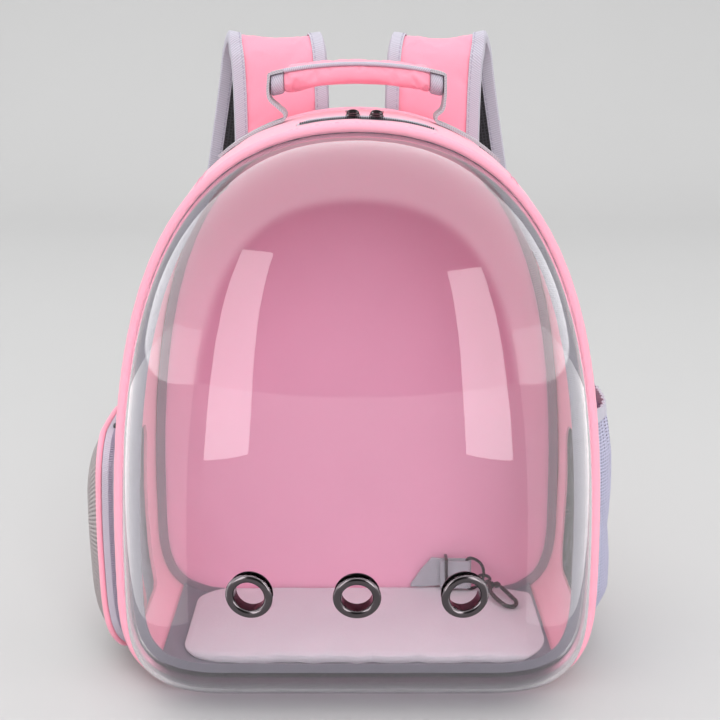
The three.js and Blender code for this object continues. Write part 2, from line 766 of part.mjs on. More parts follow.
function makeMat() {
  const blank = toSolid(extrudeUp(roundedRectangle(
    MAT_SHIFT - MAT_HALF_WIDTH, MAT_SHIFT + MAT_HALF_WIDTH,
    FRONT_Y + MAT_FRONT_MARGIN, FLOOR_BACK, MAT_CORNER,
  ), 0, MAT_TOP));
  return fromSolid(blank.intersect(insidePrism(WALL + 2 * GAP + BOARD_THICKNESS, FRONT_Y, BACK_Y)));
}

// Side door

function makeDoorWall() {
  return patchRim(DOOR, [
    { grow: 0, out: FACET_ROOM },
    { grow: 0, out: DOOR_WALL_HEIGHT },
    { grow: -DOOR_WALL_THICKNESS, out: DOOR_WALL_HEIGHT },
    { grow: -DOOR_WALL_THICKNESS, out: FACET_ROOM },
  ], PATCH_COUNT);
}

function makeDoorPiping() {
  const sides = 6;
  const middle = DOOR_WALL_HEIGHT + GAP + DOOR_PIPING_RADIUS;
  const section = Array.from({ length: sides }, (_, k) => {
    const a = (2 * Math.PI * k) / sides;
    return {
      grow: DOOR_PIPING_RADIUS * Math.cos(a) - DOOR_WALL_THICKNESS / 2,
      out: middle + DOOR_PIPING_RADIUS * Math.sin(a),
    };
  });
  return patchRim(DOOR, section, PATCH_COUNT);
}

function makeDoorMesh() {
  const inset = DOOR_WALL_THICKNESS / 2 + DOOR_PIPING_RADIUS + GAP;
  return patchSheet(
    DOOR, -inset, DOOR_WALL_HEIGHT + DOOR_PIPING_RADIUS, MESH_THICKNESS, DOOR_BULGE, DOOR_MESH_FULLNESS,
    [0.3, 0.7, 0.9, 1], PATCH_COUNT,
  );
}

// Mesh pocket on the right

const POCKET_BASE = lengthAtHeight(POCKET_LOW);
const POCKET_RUN = lengthAtHeight(POCKET_HIGH) - POCKET_BASE;
const POCKET_ARCH_STEPS = 8;
const POCKET_EDGE = GAP + FACET_ROOM;

// A strip of the pocket's face at a share of its height: out is its place off the wall.
function pocketArch(share, bulge, spread, out) {
  const halfDepth = spread * (POCKET_HALF_DEPTH - POCKET_TAPE_WIDTH);
  return Array.from({ length: POCKET_ARCH_STEPS + 1 }, (_, i) => {
    const v = -1 + (2 * i) / POCKET_ARCH_STEPS;
    const swell = POCKET_BULGE * bulge * (1 - v ** 4);
    const y = POCKET_CENTRE_Y + v * halfDepth;
    return wallPoint(1, POCKET_BASE + share * POCKET_RUN, y, POCKET_EDGE + out + swell);
  });
}

function pocketBand(sections) {
  return loft(sections.map(({ share, bulge, spread, low, high }) =>
    [...pocketArch(share, bulge, spread, low), ...pocketArch(share, bulge, spread, high).reverse()]));
}

function makePocketMesh() {
  return pocketBand(POCKET_SECTIONS.map((row) => ({ ...row, low: 0, high: MESH_THICKNESS })));
}

function makePocketHem() {
  const top = POCKET_SECTIONS.at(-1);
  const start = 1 + GAP / POCKET_RUN;
  const end = start + POCKET_HEM_HEIGHT / POCKET_RUN;
  return pocketBand([
    { ...top, share: start, low: 0, high: MESH_THICKNESS + POCKET_HEM_EXTRA },
    { ...top, share: end, low: 0, high: MESH_THICKNESS + POCKET_HEM_EXTRA },
  ]);
}

// Tape down the front of the pocket, under it and up the back.
function makePocketTape() {
  const half = POCKET_HALF_DEPTH - POCKET_TAPE_WIDTH / 2;
  const width = POCKET_TAPE_WIDTH - 2 * GAP;
  const bend = POCKET_TAPE_BEND;
  const route = new THREE.Path();
  route.moveTo(POCKET_RUN + POCKET_HEM_HEIGHT, -half);
  route.lineTo(bend, -half);
  route.absarc(bend, -half + bend, bend + POCKET_TAPE_WIDTH / 2, -Math.PI / 2, -Math.PI, true);
  route.lineTo(-POCKET_TAPE_WIDTH / 2, half - bend);
  route.absarc(bend, half - bend, bend + POCKET_TAPE_WIDTH / 2, Math.PI, Math.PI / 2, true);
  route.lineTo(POCKET_RUN + POCKET_HEM_HEIGHT, half);
  const steps = 34;
  const rings = Array.from({ length: steps + 1 }, (_, i) => {
    const p = route.getPointAt(i / steps);
    const way = route.getTangentAt(i / steps);
    return [[-1, 0], [1, 0], [1, 1], [-1, 1]].map(([across, up]) => wallPoint(
      1,
      POCKET_BASE + p.x - (across * way.y * width) / 2,
      POCKET_CENTRE_Y + p.y + (across * way.x * width) / 2,
      POCKET_EDGE + up * TAPE_THICKNESS,
    ));
  });
  return loft(rings);
}

function makeWindowMesh() {
  return patchSheet(POCKET_WINDOW, -MESH_CLEARANCE, -WALL / 2, MESH_THICKNESS, 0, 1, [0.3, 1], PATCH_COUNT);
}

// Zips

// A frame on the arch: X along it, Y along the depth, Z out of the wall.
function crownPlace(distance, y, out) {
  const step = 2;
  const along = crownPoint(distance + step, y, out).sub(crownPoint(distance - step, y, out)).normalize();
  const depth = new THREE.Vector3(0, 1, 0);
  const basis = new THREE.Matrix4().makeBasis(along, depth, along.clone().cross(depth));
  return basis.setPosition(crownPoint(distance, y, out));
}

const ZIP_TAPE_LOW = -WALL + ZIP_TAPE_LIFT;
const COIL_LOW = ZIP_TAPE_LOW + TAPE_THICKNESS + GAP;

function makeTopZip() {
  return crownStrip(
    ZIP_FROM + GAP, ZIP_TO - GAP, ZIP_Y, ZIP_HALF_WIDTH,
    ZIP_TAPE_LOW, ZIP_TAPE_LOW + TAPE_THICKNESS, ZIP_STEPS,
  );
}

function makeTopCoil() {
  return crownStrip(
    ZIP_FROM + COIL_END, ZIP_TO - COIL_END, ZIP_Y, COIL_WIDTH / 2,
    COIL_LOW, COIL_LOW + COIL_HEIGHT, ZIP_STEPS,
  );
}

// A slider's body with the arched bridge that carries the pull. X runs along the zip, Z out of it.
function makeSlider() {
  const body = new THREE.Shape([
    new THREE.Vector2(-SLIDER_LENGTH / 2, -0.7 * SLIDER_WIDTH / 2),
    new THREE.Vector2(0.2 * SLIDER_LENGTH, -SLIDER_WIDTH / 2),
    new THREE.Vector2(SLIDER_LENGTH / 2, -0.6 * SLIDER_WIDTH / 2),
    new THREE.Vector2(SLIDER_LENGTH / 2, 0.6 * SLIDER_WIDTH / 2),
    new THREE.Vector2(0.2 * SLIDER_LENGTH, SLIDER_WIDTH / 2),
    new THREE.Vector2(-SLIDER_LENGTH / 2, 0.7 * SLIDER_WIDTH / 2),
  ]);
  const plate = extrudeUp(body, 0, SLIDER_HEIGHT / 2);
  const bridge = new THREE.Shape();
  const foot = SLIDER_HEIGHT / 4;
  bridge.moveTo(-BRIDGE_HALF, foot);
  bridge.lineTo(-BRIDGE_HALF, 1.3 * SLIDER_HEIGHT);
  bridge.lineTo(0, 1.6 * SLIDER_HEIGHT);
  bridge.lineTo(BRIDGE_HALF, 1.3 * SLIDER_HEIGHT);
  bridge.lineTo(BRIDGE_HALF, foot);
  bridge.lineTo(0.4 * BRIDGE_HALF, foot);
  bridge.lineTo(0.4 * BRIDGE_HALF, 1.15 * SLIDER_HEIGHT);
  bridge.lineTo(-0.4 * BRIDGE_HALF, 1.15 * SLIDER_HEIGHT);
  bridge.lineTo(-0.4 * BRIDGE_HALF, foot);
  return join(plate, extrudeAlongY(bridge, -BRIDGE_HALF / 2, BRIDGE_HALF / 2));
}

// A pull tab: a plate with a slot at its head, lying along +X from the bridge.
function makePull() {
  const slotHalf = BRIDGE_HALF + 2 * GAP;
  const half = slotHalf + PULL_RIM;
  const head = BRIDGE_HALF / 2 + 2 * GAP;
  const outline = roundedRectangle(-head - PULL_RIM, PULL_LENGTH, -half, half, PULL_RIM);
  const slot = roundedRectangle(-head, 2 * head, -slotHalf, slotHalf, GAP);
  outline.holes.push(new THREE.Path(slot.getPoints(2)));
  return extrudeUp(outline, 0, PULL_THICKNESS, 2);
}

// Carry handle

function gripHeight(x) {
  return BODY_HEIGHT + GRIP_RISE - GRIP_SAG * (x / GRIP_HALF_LENGTH) ** 2;
}

function makeGrip() {
  const sides = 10;
  const steps = 7;
  return loft(Array.from({ length: steps + 1 }, (_, i) => {
    const x = GRIP_HALF_LENGTH * (-1 + (2 * i) / steps);
    return Array.from({ length: sides }, (_, k) => {
      const a = (2 * Math.PI * k) / sides;
      return new THREE.Vector3(
        x,
        HANDLE_Y + GRIP_HALF_DEPTH * Math.cos(a),
        gripHeight(x) + GRIP_HALF_HEIGHT * Math.sin(a),
      );
    });
  }));
}

// The seam along the grip's upper front edge: its webbing leaves the ends of the grip at this height.
const GRIP_SEAM = THREE.MathUtils.degToRad(GRIP_PIPING_ANGLE);
const WEB_LIFT = (GRIP_HALF_HEIGHT + GRIP_PIPING_RADIUS + GAP) * Math.sin(GRIP_SEAM);

// The cord of piping in that seam.
function makeGripPiping() {
  const steps = 8;
  const off = GRIP_PIPING_RADIUS + GAP;
  const points = Array.from({ length: steps + 1 }, (_, i) => {
    const x = GRIP_HALF_LENGTH * (-1 + (2 * i) / steps);
    return new THREE.Vector3(
      x,
      HANDLE_Y + (GRIP_HALF_DEPTH + off) * Math.cos(GRIP_SEAM),
      gripHeight(x) + (GRIP_HALF_HEIGHT + off) * Math.sin(GRIP_SEAM),
    );
  });
  return tubeAlong(new THREE.CatmullRomCurve3(points), GRIP_PIPING_RADIUS, 10, 6);
}

// A cuff of tape round the end of the grip, under the webbing that leaves it.
function makeCuff(side) {
  const sides = 12;
  const ends = [GRIP_HALF_LENGTH + GAP, HANDLE_HALF_SPAN - WEB_THICKNESS / 2 - 2 * GAP];
  return loft(ends.map((x) => {
    const top = gripHeight(x) + WEB_LIFT - WEB_THICKNESS / 2 - 2 * GAP;
    return Array.from({ length: sides }, (_, k) => {
      const a = (2 * Math.PI * (k + 0.5)) / sides;
      const z = gripHeight(x) + CUFF_FULLNESS * GRIP_HALF_HEIGHT * Math.sin(a);
      const y = HANDLE_Y + GRIP_HALF_DEPTH * Math.cos(a);
      return new THREE.Vector3(side * x, y, Math.min(z, top));
    });
  }));
}

// Webbing from one end of the grip, round its cuff, down to the shell, and outwards where it is sewn on.
function makeHandleWebbing(side, kneeAt) {
  const turn = WEB_TURN;
  const distanceAt = (x) => {
    let d = 0;
    while (crownPoint(d, HANDLE_Y, 0).x < x) d += 0.25;
    return d;
  };
  const start = distanceAt(kneeAt);
  const off = WEB_THICKNESS / 2 + 2 * GAP;
  const knee = crownPoint(start, HANDLE_Y, off);
  const top = (x) => gripHeight(x) + WEB_LIFT;
  const cuffFoot = gripHeight(HANDLE_HALF_SPAN) - CUFF_FULLNESS * GRIP_HALF_HEIGHT;
  const points = [
    [GRIP_HALF_LENGTH + GAP, top(GRIP_HALF_LENGTH + GAP)],
    [HANDLE_HALF_SPAN - 0.5 * turn, top(HANDLE_HALF_SPAN)],
    [HANDLE_HALF_SPAN - 0.1 * turn, top(HANDLE_HALF_SPAN) - 0.2 * turn],
    [HANDLE_HALF_SPAN, top(HANDLE_HALF_SPAN) - turn],
    [HANDLE_HALF_SPAN, cuffFoot - GAP],
    [knee.x + turn, knee.z + 3.2 * turn],
    [knee.x - 0.6 * turn, knee.z + 1.6 * turn],
    [knee.x - 0.4 * turn, knee.z + 0.35 * turn],
  ].map(([x, z]) => new THREE.Vector2(x, z));
  const footSteps = 6;
  for (let i = 1; i <= footSteps; i++) {
    const p = crownPoint(start + (HANDLE_FOOT_LENGTH * i) / footSteps, HANDLE_Y, off);
    points.push(new THREE.Vector2(p.x, p.z));
  }
  const strip = extrudeAlongY(
    stripShape(points, WEB_THICKNESS), HANDLE_Y - HANDLE_WEB_WIDTH / 2, HANDLE_Y + HANDLE_WEB_WIDTH / 2,
  );
  return side < 0 ? facingOut(mergeVertices(strip.clone().scale(-1, 1, 1))) : strip;
}

// Shoulder straps

const STRAP_HALF = STRAP_THICKNESS / 2 + STRAP_SEAM_GAP + STRAP_BINDING_THICKNESS;
const STRAP_FOOT_Y = BACK_Y + 2 * PIPING_RADIUS + 3 * GAP + STRAP_HALF;
const STRAP_FOOT_HEIGHT = BODY_HEIGHT - STRAP_FOOT_DROP;
const STRAP_SPREAD = BODY_HALF_WIDTH - STRAP_END_INSET - STRAP_SPACING;
const STRAP_ROUTE = [
  ...STRAP_UP.map(({ out, back, up }) => ({
    x: STRAP_SPACING + out * STRAP_SPREAD,
    y: STRAP_FOOT_Y + back * STRAP_REACH,
    z: STRAP_FOOT_HEIGHT + up * STRAP_RISE,
    width: STRAP_WIDTH,
  })),
  ...STRAP_DOWN.map(({ out, back, down, width }) => ({
    x: STRAP_SPACING + out * STRAP_SPREAD,
    y: STRAP_FOOT_Y + back * STRAP_REACH,
    z: STRAP_FOOT_HEIGHT + STRAP_RISE - down * STRAP_DROP,
    width: width * STRAP_WIDTH,
  })),
];

// Frames along the padded part: place, width direction and the direction of the pink face.
function strapFrames(side) {
  const curve = new THREE.CatmullRomCurve3(
    STRAP_ROUTE.map(({ x, y, z }) => new THREE.Vector3(side * x, y, z)), false, 'centripetal',
  );
  return Array.from({ length: STRAP_STEPS + 1 }, (_, i) => {
    const t = i / STRAP_STEPS;
    const way = curve.getTangent(t);
    const across = new THREE.Vector3(1, 0, 0).addScaledVector(way, -way.x).normalize();
    const row = t * (STRAP_ROUTE.length - 1);
    const low = Math.min(Math.floor(row), STRAP_ROUTE.length - 2);
    const width = THREE.MathUtils.lerp(STRAP_ROUTE[low].width, STRAP_ROUTE[low + 1].width, row - low);
    return {
      place: curve.getPoint(t),
      across,
      face: across.clone().cross(way).negate(),
      width,
    };
  });
}

// A solid along the strap. A section point is [across, face], where across is given the local half width.
function strapSolid(side, sectionAt) {
  return loft(strapFrames(side).map((f) => sectionAt(f.width / 2).map(([a, n]) =>
    f.place.clone().addScaledVector(f.across, side * a).addScaledVector(f.face, -n))));
}

function makeStrapPad(side) {
  const top = STRAP_THICKNESS / 2;
  return strapSolid(side, (half) => {
    const edge = half - STRAP_BINDING_THICKNESS - STRAP_SEAM_GAP;
    const low = top - STRAP_PAD_BEVEL;
    return [[-edge, -low], [-edge, low], [-0.6 * edge, top], [0.6 * edge, top],
      [edge, low], [edge, -low], [0.6 * edge, -top], [-0.6 * edge, -top]];
  });
}

// The dark spacer mesh on the face that lies on the shoulder.
function makeStrapSkin(side) {
  const low = -STRAP_THICKNESS / 2 - GAP;
  return strapSolid(side, (half) => {
    const edge = half - STRAP_BINDING_WIDTH - STRAP_SEAM_GAP;
    return [[edge, low], [0.6 * edge, low], [-0.6 * edge, low], [-edge, low],
      [-edge, low - STRAP_SKIN], [edge, low - STRAP_SKIN]];
  });
}

// Binding folded over one edge of the strap: edge +1 is the edge away from the bag's middle.
function makeStrapBinding(side, edge) {
  const top = STRAP_THICKNESS / 2 + STRAP_SEAM_GAP;
  const t = STRAP_BINDING_THICKNESS;
  return strapSolid(side, (half) => {
    const deep = half - STRAP_BINDING_WIDTH;
    const section = [[deep, top], [half - t, top], [half - t, -top], [deep, -top],
      [deep, -top - t], [half, -top - t], [half, top + t], [deep, top + t]];
    return edge > 0 ? section : section.map(([a, n]) => [-a, n]).reverse();
  });
}

const LOOP_HALF = BUCKLE_THICKNESS / 2 + STRAP_WEB_THICKNESS / 2 + GAP;
const TAB_OUT = BODY_HALF_WIDTH - TAB_INSET;
const TAB_FRONT = BACK_Y + PANEL_CROWN + GAP;

// The frame at the strap's lower end: X across, Y down along the webbing, Z out of the pink face.
function strapEnd(side) {
  const end = strapFrames(side).at(-1);
  const tab = new THREE.Vector3(
    side * TAB_OUT, TAB_FRONT + TAB_THICKNESS / 2 - LOOP_HALF, TAB_LOW + TAB_HEIGHT + STRAP_WEB_THICKNESS,
  );
  const way = tab.clone().sub(end.place);
  const length = way.length();
  way.normalize();
  const across = new THREE.Vector3(1, 0, 0).addScaledVector(way, -way.x).normalize();
  const out = across.clone().cross(way);
  const place = new THREE.Matrix4().makeBasis(across, way, out).setPosition(end.place);
  return { place, length };
}

// A strip round a bar's far edge, in the strap's end frame: from start to the bar and back to end.
function loopStrip(start, bar, end, half, width, thickness) {
  const way = Math.sign(bar - start);
  const points = [new THREE.Vector2(start, half)];
  const turns = 6;
  for (let i = 0; i <= turns; i++) {
    const a = (Math.PI * i) / turns;
    points.push(new THREE.Vector2(bar + way * half * Math.sin(a), half * Math.cos(a)));
  }
  points.push(new THREE.Vector2(end, -half));
  const outline = stripShape(points, thickness);
  const strip = new THREE.ExtrudeGeometry(outline, { depth: width, bevelEnabled: false });
  const turn = new THREE.Matrix4().makeBasis(
    new THREE.Vector3(0, 1, 0), new THREE.Vector3(0, 0, 1), new THREE.Vector3(1, 0, 0),
  );
  return strip.translate(0, 0, -width / 2).applyMatrix4(turn);
}

function makeBuckle() {
  const half = BUCKLE_WIDTH / 2;
  const frame = roundedRectangle(-half, half, BUCKLE_START, BUCKLE_START + BUCKLE_LENGTH, BUCKLE_SIDE);
  const inner = half - BUCKLE_SIDE;
  const slot = (BUCKLE_LENGTH - 3 * BUCKLE_BAR) / 2;
  for (const low of [BUCKLE_START + BUCKLE_BAR, BUCKLE_START + 2 * BUCKLE_BAR + slot]) {
    const hole = roundedRectangle(-inner, inner, low, low + slot, BUCKLE_SLOT_CORNER);
    frame.holes.push(new THREE.Path(hole.getPoints(1)));
  }
  return extrudeUp(frame, -BUCKLE_THICKNESS / 2, BUCKLE_THICKNESS / 2, 2);
}

function makeStrapLoop() {
  const start = 0.4 * BUCKLE_START;
  return loopStrip(start, BUCKLE_START + BUCKLE_BAR, start, LOOP_HALF, STRAP_WEB_WIDTH, STRAP_WEB_THICKNESS);
}

function makeStrapWebbing(side) {
  const { length } = strapEnd(side);
  const bar = BUCKLE_START + BUCKLE_LENGTH - BUCKLE_BAR;
  return loopStrip(length - GAP, bar, bar + STRAP_WEB_LAP, LOOP_HALF, STRAP_WEB_WIDTH, STRAP_WEB_THICKNESS);
}

// A fabric triangle at the lower corner of the back, where the webbing is sewn in.
function makeStrapTab(side) {
  const top = STRAP_WEB_WIDTH / 2 + TAB_MARGIN;
  const shape = new THREE.Shape([
    new THREE.Vector2(-TAB_HALF_BASE, TAB_LOW),
    new THREE.Vector2(TAB_HALF_BASE, TAB_LOW + TAB_SKEW),
    new THREE.Vector2(top, TAB_LOW + TAB_HEIGHT),
    new THREE.Vector2(-top, TAB_LOW + TAB_HEIGHT),
  ]);
  return extrudeAlongY(shape, TAB_FRONT, TAB_FRONT + TAB_THICKNESS).translate(side * TAB_OUT, 0, 0);
}

// Leash

// A ribbon standing on its edge along points in plan, from a low to a high edge at each of them.
function standingRibbon(rows, thickness) {
  const plan = rows.map(({ x, y }) => new THREE.Vector2(x, y));
  return loft(rows.map(({ low, high }, i) => {
    const way = plan[Math.min(i + 1, plan.length - 1)].clone().sub(plan[Math.max(i - 1, 0)]).normalize();
    const across = new THREE.Vector2(-way.y, way.x).multiplyScalar(thickness / 2);
    return [[1, low], [-1, low], [-1, high], [1, high]].map(([s, z]) =>
      new THREE.Vector3(plan[i].x + s * across.x, plan[i].y + s * across.y, z));
  }));
}

const LEASH_Y = FLOOR_BACK - LEASH_STAND_OFF;
const LEASH_FLOOR = MAT_TOP + GAP;
const LEASH_LOW = LEASH_FLOOR + 2 * RING_WIRE + GAP;

function makeLeashWebbing() {
  const low = LEASH_LOW;
  const high = low + LEASH_WIDTH;
  const half = LEASH_LOOP / 2 + LEASH_THICKNESS / 2;
  const behind = FLOOR_BACK - LEASH_BEHIND;
  const rows = [
    { x: LEASH_START, y: behind, low: LEASH_FLOOR, high: LEASH_FLOOR + LEASH_THICKNESS },
    { x: LEASH_START + LEASH_FAN / 2, y: behind - GAP, low: LEASH_FLOOR, high: low + 0.55 * LEASH_WIDTH },
    { x: LEASH_START + LEASH_FAN, y: behind - LEASH_THICKNESS, low: LEASH_FLOOR + RING_WIRE, high },
    { x: ADJUSTER_X - LEASH_TAIL, y: LEASH_Y + half, low, high },
    { x: LEASH_END - half, y: LEASH_Y + half, low, high },
  ];
  const turns = 5;
  for (let i = 1; i < turns; i++) {
    const a = (Math.PI * i) / turns;
    rows.push({ x: LEASH_END - half + half * Math.sin(a), y: LEASH_Y + half * Math.cos(a), low, high });
  }
  rows.push({ x: LEASH_END - half, y: LEASH_Y - half, low, high });
  rows.push({ x: ADJUSTER_X - LEASH_TAIL, y: LEASH_Y - half, low, high });
  return standingRibbon(rows, LEASH_THICKNESS);
}

// The adjuster: an upright frame round both layers of the webbing.
function makeAdjuster() {
  const wide = LEASH_LOOP / 2 + LEASH_THICKNESS + 2 * GAP;
  const frame = roundedRectangle(
    LEASH_Y - wide - ADJUSTER_BAR, LEASH_Y + wide + ADJUSTER_BAR,
    LEASH_FLOOR, LEASH_LOW + LEASH_WIDTH + GAP + ADJUSTER_BAR, ADJUSTER_CORNER,
  );
  const hole = roundedRectangle(
    LEASH_Y - wide, LEASH_Y + wide,
    LEASH_LOW - GAP, LEASH_LOW + LEASH_WIDTH + GAP, ADJUSTER_CORNER / 2,
  );
  const turn = new THREE.Matrix4().makeBasis(
    new THREE.Vector3(0, 1, 0), new THREE.Vector3(0, 0, 1), new THREE.Vector3(1, 0, 0),
  );
  const blank = extrudeUp(frame, -ADJUSTER_BAR / 2, ADJUSTER_BAR / 2, 2);
  const bore = extrudeUp(hole, -ADJUSTER_BAR, ADJUSTER_BAR, 2);
  return fromSolid(toSolid(blank).subtract(toSolid(bore)))
    .applyMatrix4(turn).translate(ADJUSTER_X, 0, 0);
}

// A D-shaped ring: its straight bar stands inside the webbing's end loop.
const RING_X = LEASH_END - LEASH_THICKNESS - RING_WIRE - GAP;
const RING_Z = LEASH_LOW + LEASH_WIDTH / 2;

function makeLeashRing() {
  const half = LEASH_WIDTH / 2 + GAP + RING_WIRE;
  const corners = RING_SECTIONS.map(({ out, up }) =>
    new THREE.Vector3(RING_X + out * RING_DEPTH, LEASH_Y, RING_Z + up * half));
  return tubeAlong(new THREE.CatmullRomCurve3(corners, true), RING_WIRE, 26, 6, true);
}

// The hook's frame: X from its eye to its tip, Y across, Z up. The eye is threaded on the ring.
const hookPlace = new THREE.Matrix4()
  .makeRotationFromEuler(new THREE.Euler(0, HOOK_DIP, HOOK_TURN, 'ZYX'))
  .setPosition(RING_X + RING_DEPTH + HOOK_OFFSET.x, LEASH_Y + HOOK_OFFSET.y, RING_Z + HOOK_OFFSET.z);
const HOOK_BACK = HOOK_EYE_RADIUS + HOOK_WIRE + HOOK_SHANK;

function makeHook() {
  const eye = new THREE.TorusGeometry(HOOK_EYE_RADIUS, 0.75 * HOOK_WIRE, 6, 12);
  const neck = new THREE.CylinderGeometry(1.5 * HOOK_WIRE, 1.9 * HOOK_WIRE, HOOK_BACK - HOOK_EYE_RADIUS, 10)
    .rotateZ(Math.PI / 2).translate((HOOK_BACK + HOOK_EYE_RADIUS) / 2, 0, 0);
  const bow = new THREE.CatmullRomCurve3(HOOK_BOW.map(({ along, across }) =>
    new THREE.Vector3(HOOK_BACK + along * HOOK_LENGTH, across * HOOK_HALF_WIDTH, 0)));
  const low = 0.3 * HOOK_HALF_WIDTH;
  const high = HOOK_HALF_WIDTH + 0.6 * HOOK_WIRE;
  const run = SHOULDER_REACH + SHOULDER_LAP;
  const shoulder = boxAt(
    run, high - low, 1.4 * HOOK_WIRE, HOOK_BACK + SHOULDER_REACH - run / 2, (low + high) / 2, 0,
  );
  return join(tubeAlong(bow, HOOK_WIRE, 14, 6), neck, eye, shoulder).applyMatrix4(hookPlace);
}

// The sprung gate that closes the hook. It turns at its end beside the shoulder and meets the hook's tip.
const GATE_PIVOT = new THREE.Vector3(HOOK_BACK + SHOULDER_REACH + GATE_CLEARANCE, HOOK_HALF_WIDTH - GAP, 0);

function makeGate() {
  const reach = HOOK_BACK + HOOK_BOW.at(-1).along * HOOK_LENGTH - GATE_PIVOT.x - 2 * GAP;
  const bar = boxAt(reach, 1.6 * HOOK_WIRE, 1.4 * HOOK_WIRE, GATE_PIVOT.x + reach / 2, GATE_PIVOT.y, 0);
  return bar.applyMatrix4(hookPlace);
}

// Assembly

const carrier = new THREE.Group();

function addPiece(name, geometry, finish, place) {
  const piece = new THREE.Mesh(geometry, new THREE.MeshStandardMaterial(finish));
  piece.name = name;
  if (place) place.decompose(piece.position, piece.quaternion, piece.scale);
  carrier.add(piece);
}

addPiece('gusset', makeGusset(), PINK);
addPiece('back_panel', makeBackPanel(), PINK);
addPiece('rim_piping', makePiping(FLANGE_FRONT, -1), PINK);
addPiece('back_piping', makePiping(BACK_Y, 1), PINK);
addPiece('rim_tape', makeSeamTape(FRONT_Y + GAP, rimTapeWidth), GREY_TAPE);
addPiece(
  'back_tape',
  makeSeamTape(BACK_Y - PANEL_THICKNESS - GAP - TAPE_THICKNESS, () => BACK_TAPE_WIDTH),
  GREY_TAPE,
);

addPiece('dome', makeDome(), CLEAR);
for (const { name, x } of EYELETS) addPiece(name, makeEyelet(), LEAD_METAL, eyeletPlace(x));

addPiece('base_board', makeBoard(), GREY_TAPE);
addPiece('floor_mat', makeMat(), { color: 0xdccfdc, roughness: 0.95, metalness: 0 });

addPiece('door_wall', makeDoorWall(), LILAC);
addPiece('door_piping', makeDoorPiping(), PINK);
addPiece('door_mesh', makeDoorMesh(), { color: 0xa9a2a5, roughness: 0.9, metalness: 0 });

addPiece('pocket_mesh', makePocketMesh(), LILAC);
addPiece('pocket_tape', makePocketTape(), LILAC);
addPiece('pocket_hem', makePocketHem(), LILAC);
addPiece('window_mesh', makeWindowMesh(), BLACK);

addPiece('top_zip', makeTopZip(), GREY_TAPE);
addPiece('top_coil', makeTopCoil(), BLACK);

addPiece('handle_grip', makeGrip(), PINK);
addPiece('handle_piping', makeGripPiping(), LILAC);

for (const [label, side] of [['left', -1], ['right', 1]]) {
  addPiece(`handle_cuff_${label}`, makeCuff(side), LILAC);
  addPiece(`handle_webbing_${label}`, makeHandleWebbing(side, HANDLE_KNEES[label]), LILAC);
  addPiece(`strap_pad_${label}`, makeStrapPad(side), PINK);
  addPiece(`strap_skin_${label}`, makeStrapSkin(side), BLACK);
  addPiece(`strap_binding_inner_${label}`, makeStrapBinding(side, -1), LILAC);
  addPiece(`strap_binding_outer_${label}`, makeStrapBinding(side, 1), LILAC);
  const { place } = strapEnd(side);
  addPiece(`strap_loop_${label}`, makeStrapLoop(), LILAC, place);
  addPiece(`strap_buckle_${label}`, makeBuckle(), BLACK, place);
  addPiece(`strap_webbing_${label}`, makeStrapWebbing(side), LILAC, place);
  addPiece(`strap_tab_${label}`, makeStrapTab(side), PINK);
}

addPiece('leash_webbing', makeLeashWebbing(), GREY_TAPE);
addPiece('leash_adjuster', makeAdjuster(), LEAD_METAL);
addPiece('leash_ring', makeLeashRing(), LEAD_METAL);
addPiece('snap_hook', makeHook(), LEAD_METAL);
addPiece('snap_gate', makeGate(), LEAD_METAL);

// Zip sliders and their pulls: two meet at the top of the bag, two at the top of the side door.
const sliderOut = COIL_LOW + COIL_HEIGHT + GAP;
for (const [label, side] of [['left', -1], ['right', 1]]) {
  const distance = SLIDER_SHIFT + side * SLIDER_SPACING;
  const place = crownPlace(distance, ZIP_Y, sliderOut);
  addPiece(`top_slider_${label}`, makeSlider(), LEAD_METAL, place);
  const lay = new THREE.Matrix4().makeRotationZ(Math.PI / 2 - side * PULL_SPLAY)
    .setPosition(0, 0, SLIDER_HEIGHT / 2 + GAP);
  addPiece(`top_pull_${label}`, makePull(), LEAD_METAL, place.clone().multiply(lay));
}

// The door's zip runs round its wall, so the sliders stand on the wall's upper end and hang outwards.
for (const [label, share] of Object.entries(DOOR_SLIDERS)) {
  const v = share * DOOR_HALF_DEPTH;
  const u = (DOOR.high - DOOR.low) / 2;
  const middle = (DOOR_WALL_HEIGHT + GAP) / 2;
  const base = patchPoint(DOOR, u + GAP, v, middle);
  const up = patchPoint(DOOR, u + 1, v, middle).sub(patchPoint(DOOR, u, v, middle)).normalize();
  const out = new THREE.Vector3(0, 1, 0).cross(up).normalize();
  const place = new THREE.Matrix4().makeBasis(new THREE.Vector3(0, 1, 0), out.negate(), up).setPosition(base);
  addPiece(`door_slider_${label}`, makeSlider(), BLACK, place);
}

export default carrier;
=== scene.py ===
# %% [markdown]
# # A pet carrier backpack with a clear dome
# A soft pink bag with padded straps stands on its flat base. Its whole front is a clear moulded dome, so
# the inside shows too: a pale mat, a leash with a snap hook, grey seam tapes and the padded back. The
# solids of the model give every piece its place. Each step below makes one piece in Blender with the
# shape, seams and finish that the real one has.

# %% Load the fixed frame
import json
import math

import bmesh
import bpy
import numpy as np
from mathutils import Matrix, Vector, noise

